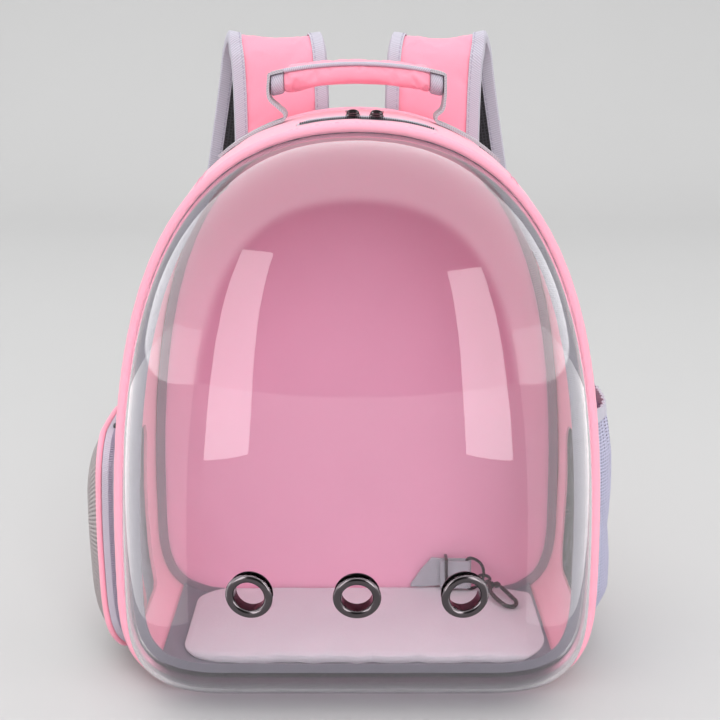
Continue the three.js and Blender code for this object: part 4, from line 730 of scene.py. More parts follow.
def rounded_loop(half_u, half_v, radius, count):
    """Evenly spaced places round a rounded rectangle, as an array of u and v."""
    dense = []
    for k, (cu, cv) in enumerate(((1, 1), (-1, 1), (-1, -1), (1, -1))):
        for a in np.linspace(k * math.pi / 2, (k + 1) * math.pi / 2, 24):
            dense.append((cu * (half_u - radius) + radius * math.cos(a), cv * (half_v - radius)
                          + radius * math.sin(a)))
    dense = np.array(dense + dense[:1])
    way = np.concatenate([[0], np.cumsum(np.linalg.norm(np.diff(dense, axis=0), axis=1))])
    at = np.linspace(0, way[-1], count, endpoint=False)
    return np.stack([np.interp(at, way, dense[:, 0]), np.interp(at, way, dense[:, 1])], axis=1)


def patch(side, low, high, half_depth, centre_y, corner):
    return {"side": side, "low": low, "high": high, "half": half_depth, "y": centre_y, "corner": corner}


DOOR = patch(-1, s_at_height(DOOR_LOW), s_at_height(DOOR_HIGH), DOOR_HALF_DEPTH, DOOR_CENTRE_Y, DOOR_CORNER)
WINDOW = patch(1, s_at_height(POCKET_LOW) + 2 * WINDOW_MARGIN, s_at_height(POCKET_HIGH) - 2 * WINDOW_MARGIN,
               POCKET_HALF_DEPTH - WINDOW_MARGIN, POCKET_CENTRE_Y, WINDOW_CORNER)


def patch_loop(p, grow, count):
    half_u = (p["high"] - p["low"]) / 2 + grow
    return rounded_loop(half_u, p["half"] + grow, max(p["corner"] + grow, 1), count)


def patch_place(p, uv, out):
    s = p["side"] * ((p["low"] + p["high"]) / 2 + uv[..., 0])
    return wall(s, p["y"] + uv[..., 1], out)


def patch_plug(p, grow):
    loop = patch_loop(p, grow, 96)
    return loft("plug", [patch_place(p, loop, out) for out in (-PLUG_REACH, PLUG_REACH)])


def crown_plug(d_low, d_high, y, half_width):
    rings = []
    for d in np.linspace(d_low, d_high, 16):
        s = float(crown_s(d))
        corners = ((-1, -1), (1, -1), (1, 1), (-1, 1))
        rings.append([wall(s, y + side * half_width, up * PLUG_REACH) for side, up in corners])
    return loft("plug", rings)


# %% Wall cloth
ZIP_Y = -49.0
ZIP_HALF_LENGTH = 49.0
ZIP_HALF_WIDTH = 5.0
ZIP_SHIFT = 7.0
SLIT_HEIGHT = 347.0
SLIT_Y = -22.0
SLIT_LENGTH = 28.0
SLIT_WIDTH = 3.6
CROSS_SEAM = 122.0


def wall_relief(s, y):
    """How far the cloth lies in or out of the plain wall: puckers, cross seams and soft waves."""
    edge = np.minimum(np.abs(y - FRONT_Y), np.abs(BACK_Y - y))
    base = smoothstep(np.abs(s), 100, 150)
    pucker = np.exp(-edge / 7) * (0.5 + 0.5 * np.sin(s / 3.1 + 2.0 * np.sin(s / 17.0)))
    away = HALF - np.abs(s)
    seam = np.exp(-(((away - CROSS_SEAM) / 2.4) ** 2))
    places = np.stack([s, y, 0 * s], axis=-1)
    soft = 0.9 * waves(places, 46, 3.0) + 0.4 * waves(places, 17, 8.0)
    return base * (soft * smoothstep(edge, 0, 22) - 0.9 * pucker - 1.3 * seam)


def make_wall():
    ys = np.concatenate([[FRONT_Y], np.linspace(FRONT_Y + 2.5, BACK_Y - 2.5, 30), [BACK_Y]])
    s = np.linspace(-HALF, HALF, WALL_STATIONS, endpoint=False)
    grid_s, grid_y = np.meshgrid(s, ys, indexing="ij")
    relief = wall_relief(grid_s, grid_y)
    edge = np.minimum(np.abs(grid_y - FRONT_Y), np.abs(BACK_Y - grid_y))
    outer = wall(grid_s, grid_y, relief - 0.5 * np.exp(-edge / 1.2))
    inner = wall(grid_s, grid_y, -WALL + 0.4 * relief)[:, ::-1]
    piece = loft("wall_cloth", np.concatenate([outer, inner], axis=1), ends_joined=True)
    slit_d = HALF - s_at_height(SLIT_HEIGHT)
    return carve(
        piece, patch_plug(DOOR, -WINDOW_MARGIN), patch_plug(WINDOW, 0.0),
        crown_plug(ZIP_SHIFT - ZIP_HALF_LENGTH, ZIP_SHIFT + ZIP_HALF_LENGTH, ZIP_Y, ZIP_HALF_WIDTH + GAP),
        crown_plug(slit_d - SLIT_LENGTH / 2, slit_d + SLIT_LENGTH / 2, SLIT_Y, SLIT_WIDTH / 2),
    )


wall_cloth = done(make_wall(), pink_cloth, "pink_oxford", "gusset")

# %% [markdown]
# ## The padded back
# The back is a thick panel with a raised field. Inside, through the dome, it shows as a pink wall with
# soft folds, pulled in at its edge. Rings of the outline that shrink towards a middle point make both
# faces, and slow noise makes the folds.

# %% Back panel
PANEL_THICKNESS = 6.0
PANEL_CROWN = 4.0
DOME_CENTRE_HEIGHT = 188.0


def shrunk(s, inset, share):
    """The outline ring, inset and drawn towards the dome's centre height."""
    x, z = outline(s, -inset)
    return x * share, DOME_CENTRE_HEIGHT + (z - DOME_CENTRE_HEIGHT) * share


def make_back():
    s = np.linspace(-HALF, HALF, 260, endpoint=False)
    rings = []

    def ring(share, y, relief):
        x, z = shrunk(s, WALL + GAP, share)
        place = np.stack([x, 0 * x + y, z], axis=-1)
        place[:, 1] += relief * (waves(place, 60, 1.0) + 0.5 * waves(place, 26, 5.0))
        return place

    inner_y, outer_y = BACK_Y - PANEL_THICKNESS, BACK_Y + PANEL_CROWN
    for share in np.concatenate([[0.004], np.linspace(0.05, 0.9, 26), [0.95, 0.985]]):
        rings.append(ring(share, inner_y - 0.2, 1.3 * smoothstep(share, 0.97, 0.7)))
    rings += [ring(1.0, inner_y + 0.6, 0), ring(1.0, BACK_Y - 0.4, 0), ring(0.99, BACK_Y + 0.2, 0)]
    for share in (0.97, 0.95, 0.925, 0.9):
        rings.append(ring(share, BACK_Y + 0.2 + (outer_y - BACK_Y) * smoothstep(1 - share, 0.01, 0.12), 0))
    rings.append(ring(0.875, outer_y - 0.9, 0))
    for share in np.concatenate([np.linspace(0.85, 0.08, 20), [0.004]]):
        rings.append(ring(share, outer_y - 0.1, 0.35 * smoothstep(share, 0.87, 0.7)))
    return loft("back_panel_cloth", rings)


back_cloth = done(make_back(), pink_lining, "pink_oxford", "back_panel")
back_cloth.data.materials.append(pink_cloth)
for face in back_cloth.data.polygons:
    face.material_index = int(face.center.y > (BACK_Y - 1) * MM)

# %% [markdown]
# ## Pipings and seam tapes
# A piping is a cord in a bias strip of the same cloth, sewn into the seam all the way round. It lifts
# off the floor under the base. Inside, grey tape covers the raw edges, wide down the sides and narrow
# at the top. All of them are one section swept round the outline.

# %% Pipings
PIPING_RADIUS = 3.2
PIPING_INSET = 1.6
DOME_WALL = 2.0
FLANGE_FRONT = FRONT_Y - GAP - DOME_WALL


def piping_inset(s):
    return PIPING_RADIUS + (PIPING_INSET - PIPING_RADIUS) * smoothstep(outline(s)[1], 0, WIDEST_HEIGHT)


def make_piping(name, edge_y, way):
    s = np.linspace(-HALF, HALF, 420, endpoint=False)
    middle = edge_y + way * (PIPING_RADIUS + GAP)
    a = round_angles(14)
    grid_s, grid_a = np.meshgrid(s, a, indexing="ij")
    radius = PIPING_RADIUS * (1 + 0.025 * np.sin(grid_s / 2.3 + 3 * np.sin(grid_s / 21)))
    x, z = outline(grid_s, radius * np.cos(grid_a) - piping_inset(grid_s))
    return loft(name, np.stack([x, middle + radius * np.sin(grid_a), np.maximum(z, 0.05)], axis=-1),
                ends_joined=True)


done(make_piping("rim_piping_cloth", FLANGE_FRONT, -1), pink_cord_cloth, "pink_piping", "rim_piping")
done(make_piping("back_piping_cloth", BACK_Y, 1), pink_cord_cloth, "pink_piping", "back_piping")

# %% Seam tapes
TAPE_THICKNESS = 1.2
RIM_TAPE_WIDTH = 12.0
RIM_TAPE_TOP_WIDTH = 6.0
BACK_TAPE_WIDTH = 8.0


def rim_tape_width(height):
    top = smoothstep(height, 0.82 * BODY_HEIGHT, 0.97 * BODY_HEIGHT)
    return RIM_TAPE_WIDTH + (RIM_TAPE_TOP_WIDTH - RIM_TAPE_WIDTH) * top


def make_tape(name, y, width_at, lean):
    """A tape that stands across the bag. lean tips its free edge back along Y."""
    s = np.linspace(-HALF, HALF, 300, endpoint=False)
    inset, width = WALL + GAP, width_at(outline(s)[1])
    ripple = 0.35 * np.sin(s / 6.0 + 2 * np.sin(s / 23))
    rings = []
    for k in range(len(s)):
        rings.append([])
        for deep, far in ((0, 0), (0, 1), (0.5, 1), (1, 1), (1, 0), (0.5, 0)):
            x, z = outline(s[k], -inset - deep * width[k])
            rings[-1].append((float(x), y + far * TAPE_THICKNESS + deep * (lean + ripple[k]), float(z)))
    return loft(name, rings, ends_joined=True)


rim_tape_piece = make_tape("rim_tape_cloth", FRONT_Y + GAP + 0.4, rim_tape_width, 1.2)
done(rim_tape_piece, grey_tape, "grey_tape", "rim_tape")
back_tape_y = BACK_Y - PANEL_THICKNESS - GAP - TAPE_THICKNESS
done(make_tape("back_tape_cloth", back_tape_y - 0.9, lambda h: BACK_TAPE_WIDTH + 0 * h, -0.3),
     back_tape_cloth, "grey_tape", "back_tape")

# %% [markdown]
# ## The clear dome
# The dome is thin plastic pulled over a mould: a full, almost flat front that falls away quickly near its
# edge, with a flange behind the piping. A superellipse profile gives that fullness. Rings of the outline
# shrink along it, once for the outer face and once for the inner, and three round holes are cut for air.

# %% Dome shell
DOME_DEPTH = 100.0
DOME_FULLNESS = 2.3
FLANGE_INSET = 0.8
EYELET_SPACING = 71.0
EYELET_HEIGHT = 119.0
EYELET_RADIUS = 16.0
EYELET_BORE = 10.3
EYELET_BARREL = 12.2
EYELET_LIFT = 1.3
EYELET_DEPTH = 3.0
EYELET_ROLL = 2.2
EYELET_FLANGE = 1.6


def dome_inset(s):
    return piping_inset(s) + PIPING_RADIUS + GAP


def dome_ring(s, degrees, inset, rim_y):
    angle = math.radians(degrees)
    x, z = shrunk(s, inset, math.cos(angle) ** (2 / DOME_FULLNESS))
    depth = DOME_DEPTH * math.sin(angle) ** (2 / DOME_FULLNESS)
    return np.stack([x, 0 * x + rim_y - depth, z], axis=-1)


def dome_point(x, z):
    s = np.linspace(0, HALF, 1201) * (-1 if x < 0 else 1)
    px, pz = outline(s, -dome_inset(s))
    pz = pz - DOME_CENTRE_HEIGHT
    reach = math.hypot(x, z - DOME_CENTRE_HEIGHT)
    miss = np.abs(px * (z - DOME_CENTRE_HEIGHT) - pz * x) / (np.hypot(px, pz) * reach)
    miss = miss + (px * x + pz * (z - DOME_CENTRE_HEIGHT) < 0)
    best = int(np.argmin(miss))
    share = min(reach / math.hypot(px[best], pz[best]), 1)
    depth = DOME_DEPTH * (1 - share**DOME_FULLNESS) ** (1 / DOME_FULLNESS)
    return Vector((x, FLANGE_FRONT - depth, z))


def eyelet_place(x):
    """Where an eyelet sits: its own Z points out of the dome."""
    step = 4.0
    across = dome_point(x + step, EYELET_HEIGHT) - dome_point(x - step, EYELET_HEIGHT)
    up = dome_point(x, EYELET_HEIGHT + step) - dome_point(x, EYELET_HEIGHT - step)
    turn = across.cross(up).normalized().to_track_quat("Z", "Y")
    return Matrix.LocRotScale(dome_point(x, EYELET_HEIGHT), turn, None)


EYELETS = {"eyelet_left": -EYELET_SPACING, "eyelet_middle": 0.0, "eyelet_right": EYELET_SPACING}


def hole_plug(x):
    a = round_angles(64)
    place = eyelet_place(x)
    radius = EYELET_BARREL + GAP
    return loft("plug", [[place @ Vector((radius * math.cos(t), radius * math.sin(t), h)) for t in a]
                         for h in (-15.0, 15.0)])


def make_dome():
    s = np.linspace(-HALF, HALF, 240, endpoint=False)
    angles = np.concatenate([np.linspace(89.9, 20, 22), np.linspace(17, 0, 12)])
    outer = [dome_ring(s, a, dome_inset(s), FLANGE_FRONT) for a in angles]
    flange = [dome_ring(s, 0, FLANGE_INSET, FLANGE_FRONT),
              dome_ring(s, 0, FLANGE_INSET, FLANGE_FRONT + DOME_WALL)]
    inner = [dome_ring(s, a, dome_inset(s) + DOME_WALL, FLANGE_FRONT + DOME_WALL) for a in angles[::-1]]
    return carve(loft("dome_shell", outer + flange + inner), *[hole_plug(x) for x in EYELETS.values()])


done(make_dome(), clear_dome, "clear_dome", "dome")

# %% Eyelets
def lathe(name, profile, place, count=56):
    """Spins a closed profile of radius and height round the Z axis of a place."""
    a = round_angles(count)
    rings = [[place @ Vector((r * math.cos(t), r * math.sin(t), h)) for r, h in profile] for t in a]
    return loft(name, rings, ends_joined=True)


def eyelet_profile():
    """Rolled rim outside, barrel through the hole and a flat washer inside."""
    back = -DOME_WALL - EYELET_DEPTH
    middle, half = (EYELET_RADIUS + EYELET_BORE) / 2, (EYELET_RADIUS - EYELET_BORE) / 2
    rolled = [(middle + half * math.cos(t), EYELET_LIFT + EYELET_ROLL * math.sin(t))
              for t in np.linspace(0, math.pi, 15)]
    inside = [(EYELET_BORE, back - EYELET_FLANGE), (EYELET_RADIUS - 1.4, back - EYELET_FLANGE),
              (EYELET_RADIUS - 1, back - 0.4), (EYELET_BARREL, back), (EYELET_BARREL, EYELET_LIFT)]
    return rolled + inside


for name, x in EYELETS.items():
    done(lathe(name + "_metal", eyelet_profile(), eyelet_place(x)), gunmetal, "gunmetal", name)

# %% [markdown]
# ## Board and mat
# A thin board lies in the base and turns up a little at its sides. On it lies a pale mat with a brushed
# pile and a soft rounded edge that waves slightly along the front, where it was trimmed. The mat has slid
# towards the right wall.

# %% Base board and floor mat
BOARD_HALF_WIDTH = 150.0
BOARD_THICKNESS = 2.5
BOARD_FRONT_MARGIN = 8.0
MAT_HALF_WIDTH = 142.0
MAT_SHIFT = 6.0
MAT_TOP = 14.0
MAT_FRONT_MARGIN = 19.0
MAT_CORNER = 26.0
FLOOR_BACK = BACK_Y - PANEL_THICKNESS - TAPE_THICKNESS - 2 * GAP


def floor_height(x, above):
    """Height of the base's inner face, raised by above, at a distance from the middle."""
    s = np.linspace(0, LENGTHS[359], 400)
    px, pz = outline(s, -above)
    return np.interp(np.abs(x), px, pz)


def make_board():
    x = np.concatenate([[-BOARD_HALF_WIDTH], np.linspace(-146, 146, 70), [BOARD_HALF_WIDTH]])
    low, high = floor_height(x, WALL + GAP), floor_height(x, WALL + GAP + BOARD_THICKNESS)
    front, back = FRONT_Y + BOARD_FRONT_MARGIN, FLOOR_BACK
    rings = [[(x[k], front + 1, low[k]), (x[k], front, (low[k] + high[k]) / 2), (x[k], front + 1, high[k]),
              (x[k], 0, high[k]), (x[k], back, high[k]), (x[k], back, low[k]), (x[k], 0, low[k])]
             for k in range(len(x))]
    return loft("base_board_cloth", rings)


def make_mat():
    half_y = (FLOOR_BACK - FRONT_Y - MAT_FRONT_MARGIN) / 2
    middle_y = FLOOR_BACK - half_y
    loop = rounded_loop(MAT_HALF_WIDTH, half_y, MAT_CORNER, 220)
    sections = [(0.002, 1), (0.2, 1), (0.4, 1), (0.6, 1), (0.78, 1), (0.9, 1), (0.955, 0.96), (0.985, 0.82),
                (0.998, 0.55), (1.0, 0.3), (0.992, 0.08), (0.95, 0.0), (0.6, 0.0), (0.002, 0.0)]
    front = smoothstep(-loop[:, 1], 0.6 * half_y, half_y)
    wide_waves = 0.9 * np.sin(loop[:, 0] / 6.5 + 2 * np.sin(loop[:, 0] / 31))
    trim = front * (wide_waves + 0.5 * np.sin(loop[:, 0] / 2.9))
    rings = []
    for share, level in sections:
        x = MAT_SHIFT + loop[:, 0] * share
        y = middle_y + loop[:, 1] * share + trim * share**3
        bottom = floor_height(x, WALL + 2 * GAP + BOARD_THICKNESS)
        place = np.stack([x, y, 0 * x], axis=-1)
        top = MAT_TOP - 0.2 + 0.9 * waves(place, 55, 2.0) + 0.3 * waves(place, 19, 6.0)
        place[:, 2] = bottom + (np.maximum(top, bottom + 0.8) - bottom) * level
        rings.append(place)
    return loft("floor_mat_pile", rings)


done(make_board(), grey_tape, "grey_tape", "base_board")
mat = done(make_mat(), mat_pile, "mat_fleece", "floor_mat")

# %% [markdown]
# ## The side door on the left
# A raised door unzips round its edge. A low wall of lilac zip tape carries the teeth, a thin pink piping
# runs round its top, and a padded grey net bulges out of it. The three parts share one rounded patch on
# the wall, grown or shrunk, and two sliders stand at its upper end.

# %% Door wall, piping and net
DOOR_WALL_HEIGHT = 13.0
DOOR_WALL_THICKNESS = 2.5
DOOR_BULGE = 12.0
DOOR_PIPING_RADIUS = 2.3
MESH_THICKNESS = 1.2
DOOR_MESH_FULLNESS = 5.0


def patch_rim(name, p, section, count=200):
    loops = {grow: patch_loop(p, grow, count) for grow in {g for g, _ in section}}
    rings = [[patch_place(p, loops[g][i], out) for g, out in section] for i in range(count)]
    return loft(name, rings, ends_joined=True)


def patch_sheet(name, p, grow, low, thickness, bulge, waviness, fullness=2.4, count=160):
    loop = patch_loop(p, grow, count)
    shares = np.concatenate([[0.01], np.linspace(0.1, 0.8, 9), np.linspace(0.84, 0.98, 6), [1.0]])

    def ring(share, out):
        places = patch_place(p, loop * share, 0)
        swell = bulge * (1 - share**fullness) + waviness * waves(places, 34, 4.0) * (1 - share**6)
        return patch_place(p, loop * share, out + swell)

    return loft(name, [ring(s, low) for s in shares] + [ring(s, low + thickness) for s in shares[::-1]])


def door_section(count=10):
    middle = DOOR_WALL_HEIGHT + GAP + DOOR_PIPING_RADIUS
    a = round_angles(count)
    return [(round(float(DOOR_PIPING_RADIUS * math.cos(t)), 4) - DOOR_WALL_THICKNESS / 2,
             middle + DOOR_PIPING_RADIUS * math.sin(t)) for t in a]


TAPE_GROOVE = 0.7
door_tape = patch_rim("door_wall_tape", DOOR, [
    (0.0, 0.2), (0.0, 4.8), (-TAPE_GROOVE, 5.6), (-TAPE_GROOVE, 7.6), (0.0, 8.4),
    (0.0, DOOR_WALL_HEIGHT), (-DOOR_WALL_THICKNESS, DOOR_WALL_HEIGHT), (-DOOR_WALL_THICKNESS, 0.2)])
done(door_tape, lilac_tape, "lilac_tape", "door_wall")
done(patch_rim("door_piping_cloth", DOOR, door_section()), pink_cord_cloth, "pink_piping", "door_piping")
door_net_inset = DOOR_WALL_THICKNESS / 2 + DOOR_PIPING_RADIUS + GAP
door_net = patch_sheet("door_net", DOOR, -door_net_inset, DOOR_WALL_HEIGHT + DOOR_PIPING_RADIUS,
                       MESH_THICKNESS, DOOR_BULGE, 1.2, DOOR_MESH_FULLNESS)
done(door_net, grey_net, "grey_mesh", "door_mesh")

# %% Door zip teeth
teeth_loop = patch_loop(DOOR, -0.35, 240)
teeth_places = patch_place(DOOR, teeth_loop, 6.6)
teeth_outs = patch_place(DOOR, patch_loop(DOOR, 0.65, 240), 6.6) - teeth_places
door_teeth = along_seam("door_zip_teeth", teeth_places, teeth_outs, TOOTH, 1.8, lilac_thread, closed=True)
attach(door_teeth, "shell")
print("door teeth", len(door_teeth.data.polygons))

# %% [markdown]
# ## The mesh pocket on the right
# A lilac net pocket is sewn over a window in the wall. Tape holds its two sides and its foot, and an
# elastic hem gathers its mouth. Its net hangs in a loose belly that is fullest near the bottom.

# %% Pocket net, tape and hem
POCKET_TAPE_WIDTH = 9.0
POCKET_HEM_HEIGHT = 10.0
POCKET_BULGE = 20.0
POCKET_EDGE = GAP + 0.6
POCKET_BASE = s_at_height(POCKET_LOW)
POCKET_RUN = s_at_height(POCKET_HIGH) - POCKET_BASE
POCKET_SHARES = [0.04, 0.1, 0.2, 0.35, 0.5, 0.66, 0.82, 1.0]
POCKET_SWELL = [0.1, 0.62, 1.0, 0.9, 0.7, 0.8, 0.82, 0.62]
POCKET_SPREAD = [0.74, 0.95, 1.0, 1.0, 1.0, 1.0, 1.0, 1.0]


def pocket_arch(share, out, gather=0.0):
    v = np.linspace(-1, 1, 41)
    swell = POCKET_BULGE * np.interp(share, POCKET_SHARES, POCKET_SWELL) * (1 - v**4)
    half = (POCKET_HALF_DEPTH - POCKET_TAPE_WIDTH) * np.interp(share, POCKET_SHARES, POCKET_SPREAD)
    y = POCKET_CENTRE_Y + v * half
    s = POCKET_BASE + share * POCKET_RUN
    folds = gather * np.sin(v * 40 + 2 * np.sin(v * 7)) * (1 - v**8)
    ripple = 0.8 * waves(np.stack([0 * v + s, y, 0 * v], axis=-1), 30, 9.0) * (1 - v**6)
    return wall(s, y, POCKET_EDGE + out + swell + folds + ripple)


def pocket_sheet(name, shares, low, high, gathers):
    rings = [np.concatenate([pocket_arch(k, low, g), pocket_arch(k, high, g)[::-1]])
             for k, g in zip(shares, gathers)]
    return loft(name, rings)


pocket_shares = np.linspace(0.04, 1.0, 46)
pocket_gathers = 0.9 * smoothstep(pocket_shares, 0.75, 1.0) + 0.5 * smoothstep(pocket_shares, 0.25, 0.04)
pocket_net = pocket_sheet("pocket_net", pocket_shares, 0.0, MESH_THICKNESS, pocket_gathers)
done(pocket_net, lilac_net, "lilac_mesh", "pocket_mesh")
hem_shares = 1 + np.linspace(GAP, POCKET_HEM_HEIGHT, 6) / POCKET_RUN
hem = pocket_sheet("pocket_hem_cloth", hem_shares, 0.0, MESH_THICKNESS + 0.6, [0.9] * 6)
done(hem, lilac_tape, "lilac_tape", "pocket_hem")


def pocket_tape_route(count):
    """Up the front edge, round the foot and up the back edge, as run and depth, with its direction."""
    half = POCKET_HALF_DEPTH - POCKET_TAPE_WIDTH / 2
    bend = 14.0
    radius, top = bend + POCKET_TAPE_WIDTH / 2, POCKET_RUN + POCKET_HEM_HEIGHT
    corner = np.linspace(0, math.pi / 2, 12)
    turn = [(bend - radius * math.sin(a), -half + bend - radius * math.cos(a)) for a in corner]
    back = [(bend - radius * math.cos(a), half - bend + radius * math.sin(a)) for a in corner]
    dense = np.array([(top, turn[0][1])] + turn + back + [(top, back[-1][1])])
    way = np.concatenate([[0], np.cumsum(np.linalg.norm(np.diff(dense, axis=0), axis=1))])
    at = np.linspace(0, way[-1], count)
    places = np.stack([np.interp(at, way, dense[:, 0]), np.interp(at, way, dense[:, 1])], axis=1)
    steps = np.gradient(places, axis=0)
    return places, steps / np.linalg.norm(steps, axis=1)[:, None]


tape_places, tape_ways = pocket_tape_route(150)
tape_half = (POCKET_TAPE_WIDTH - 2 * GAP) / 2
tape_rings = [[wall(POCKET_BASE + p[0] - a * w[1] * tape_half, POCKET_CENTRE_Y + p[1]
                    + a * w[0] * tape_half,
                    POCKET_EDGE + up) for a, up in ((-1, 0), (1, 0), (1, 0.9), (0.8, 1.2), (-0.8, 1.2),
                                                    (-1, 0.9))]
              for p, w in zip(tape_places, tape_ways)]
done(loft("pocket_tape_cloth", tape_rings), lilac_tape, "lilac_tape", "pocket_tape")
window_net = patch_sheet("window_net", WINDOW, -0.8, -WALL / 2, MESH_THICKNESS, 0.0, 0.3)
done(window_net, black_net, "black_mesh", "window_mesh")

# %% [markdown]
# ## The zip in the top
# The top opens with a black coil zip on grey tape, with two sliders that meet near its middle. The coil
# is one row of small teeth along the tape. Each slider is a plate with an arched bridge, and a flat
# pull lies beside it.

# %% Top zip tape and teeth
ZIP_TAPE_LOW = -WALL + 1.6
ZIP_LEAN = 1.8
COIL_LOW = ZIP_TAPE_LOW + TAPE_THICKNESS + GAP


def crown_strip(name, d_low, d_high, y, half_width, low, high, lean, steps=60):
    """A strip along the crown between two heights. lean lifts its back edge and drops its front edge."""
    rings = []
    for d in np.linspace(d_low, d_high, steps):
        s = float(crown_s(d))
        lean_here = lean * min(1, (d - d_low) / 8, (d_high - d) / 8)
        rings.append([wall(s, y + k * half_width, out + k * lean_here) for k, out in
                      ((-1, low), (1, low), (1, high), (0, high), (-1, high))])
    return loft(name, rings)


zip_low, zip_high = ZIP_SHIFT - ZIP_HALF_LENGTH + GAP, ZIP_SHIFT + ZIP_HALF_LENGTH - GAP
top_tape = crown_strip("top_zip_tape", zip_low, zip_high, ZIP_Y, ZIP_HALF_WIDTH, ZIP_TAPE_LOW, ZIP_TAPE_LOW
                       + 1.2, ZIP_LEAN)
done(top_tape, zip_tape_cloth, "grey_tape", "top_zip")
coil_s = crown_s(np.linspace(zip_low + 2.7, zip_high - 2.7, 80))
coil_places, coil_outs = wall_out(coil_s, ZIP_Y, COIL_LOW + 0.3)
top_teeth = along_seam("top_zip_teeth", coil_places, coil_outs, TOOTH, 1.5, coil_plastic)
done(top_teeth, coil_plastic, "black_coil", "top_coil")

# %% Sliders and pulls
SLIDER_SPACING = 8.0
SLIDER_SHIFT = 5.2
SLIDER_LENGTH = 10.0
SLIDER_WIDTH = 7.0
SLIDER_HEIGHT = 2.8
BRIDGE_HALF = 2.0
PULL_LENGTH = 12.0
PULL_RIM = 1.2
PULL_THICKNESS = 1.6
PULL_SPLAY = 0.15
ARCH_HALF = 4.4
ARCH_WIRE = 1.1
TOP_ARCH = 2.6
DOOR_ARCH = 4.6
COIL_HEIGHT = 1.3


def slab(name, outline_points, low, high, place, hole=None):
    """A flat plate between two heights, with an optional hole, in the frame of a place."""
    rings = [[(x, y, h) for x, y in outline_points] for h in (low, high)]
    piece = loft(name, rings)
    if hole is not None:
        piece = carve(piece, loft("plug", [[(x, y, h) for x, y in hole] for h in (low - 3, high + 3)]))
    return placed(piece, place)


def box_loop(x_low, x_high, y_low, y_high, radius, count=28):
    loop = rounded_loop((x_high - x_low) / 2, (y_high - y_low) / 2, radius, count)
    return [((x_low + x_high) / 2 + u, (y_low + y_high) / 2 + v) for u, v in loop]


def slider_parts(name, place, arch_height):
    """A slider's body with a wide bridge over it, arch_height above the plate."""
    half, w = SLIDER_LENGTH / 2, SLIDER_WIDTH / 2
    body = [(-half, -0.7 * w), (-0.3 * half, -0.92 * w), (0.4 * half, -w), (half, -0.6 * w),
            (half, 0.6 * w), (0.4 * half, w), (-0.3 * half, 0.92 * w), (-half, 0.7 * w)]
    plate = soften(slab(name + "_plate", body, 0, SLIDER_HEIGHT / 2, place), 0.4)
    arch = [(-ARCH_HALF, 0.8)] + [(-ARCH_HALF * math.cos(t), 2.0 + arch_height * math.sin(t))
                                  for t in np.linspace(0, math.pi, 13)] + [(ARCH_HALF, 0.8)]
    inner = ARCH_HALF - ARCH_WIRE
    under = [(inner, 0.8)] + [(inner * math.cos(t), 2.0 + (arch_height - ARCH_WIRE) * math.sin(t))
                              for t in np.linspace(0, math.pi, 13)] + [(-inner, 0.8)]
    rings = [[place @ Vector((x, y, z)) for x, z in arch + under]
             for y in (-BRIDGE_HALF / 2, BRIDGE_HALF / 2)]
    return joined(name, [plate, loft(name + "_bridge", rings)])


def make_pull(name, place):
    slot_half, head = BRIDGE_HALF + 2 * GAP, BRIDGE_HALF / 2 + 2 * GAP
    outer = box_loop(-head - PULL_RIM, PULL_LENGTH, -slot_half - PULL_RIM, slot_half + PULL_RIM, PULL_RIM)
    hole = box_loop(-head, 2 * head, -slot_half, slot_half, 0.5)
    return soften(slab(name, outer, 0, PULL_THICKNESS, place, hole), 0.35)


def crown_place(d, y, out):
    def at(k):
        return Vector(wall(float(crown_s(k)), y, out))
    along = (at(d + 2) - at(d - 2)).normalized()
    depth = Vector((0, 1, 0))
    up = along.cross(depth)
    return Matrix.Translation(at(d)) @ Matrix((along, depth, up)).transposed().to_4x4()


for label, side in (("left", -1), ("right", 1)):
    place = crown_place(SLIDER_SHIFT + side * SLIDER_SPACING, ZIP_Y, COIL_LOW + COIL_HEIGHT + GAP)
    done(slider_parts("top_slider_body_" + label, place, TOP_ARCH), gunmetal, "gunmetal", "top_slider_"
         + label)
    lay = Matrix.Translation((0, 0, SLIDER_HEIGHT / 2
                              + GAP)) @ Matrix.Rotation(math.pi / 2 - side * PULL_SPLAY, 4, "Z")
    done(make_pull("top_pull_tab_" + label, place @ lay), gunmetal, "gunmetal", "top_pull_" + label)

for label, share in (("front", -0.34), ("rear", -0.12)):
    v = share * DOOR_HALF_DEPTH
    u = (DOOR["high"] - DOOR["low"]) / 2
    at = [Vector(patch_place(DOOR, np.array([u + du, v]), (DOOR_WALL_HEIGHT + GAP) / 2))
          for du in (GAP, 0, 1)]
    up = (at[2] - at[1]).normalized()
    out = Vector((0, 1, 0)).cross(up).normalized()
    turn = Matrix((Vector((0, 1, 0)), -out, up)).transposed().to_4x4()
    door_slider = slider_parts("door_slider_body_" + label, Matrix.Translation(at[0]) @ turn, DOOR_ARCH)
    done(door_slider, black_plastic, "black_plastic", "door_slider_" + label)

# %% [markdown]
# ## The carry handle
# A padded pink grip hangs between two pieces of webbing that come down to the arch and run outwards
# along it, sewn flat. Its cloth gathers where the webbing goes in, and a thin lilac piping marks the seam
# along its upper front edge.

# %% Grip and its piping
HANDLE_Y = 10.0
GRIP_HALF_LENGTH = 53.0
GRIP_CENTRE_HEIGHT = 448.5
GRIP_SAG = 5.0
GRIP_HALF_DEPTH = 12.5
GRIP_HALF_HEIGHT = 9.3
GRIP_PIPING_RADIUS = 1.5
HANDLE_HALF_SPAN = 64.0
HANDLE_FOOT_LENGTH = 52.0
HANDLE_WEB_WIDTH = 26.0
HANDLE_KNEES = {"left": 54.0, "right": 59.0}
PIPING_ANGLE = math.radians(142)
GRIP_SQUARENESS = 2.5
GRIP_SKIN = 0.2
WEB_THICKNESS = 2.0
WEB_TURN = 3.0
CUFF_FULLNESS = 1.08


def grip_height(x):
    return GRIP_CENTRE_HEIGHT - GRIP_SAG * (x / GRIP_HALF_LENGTH) ** 2


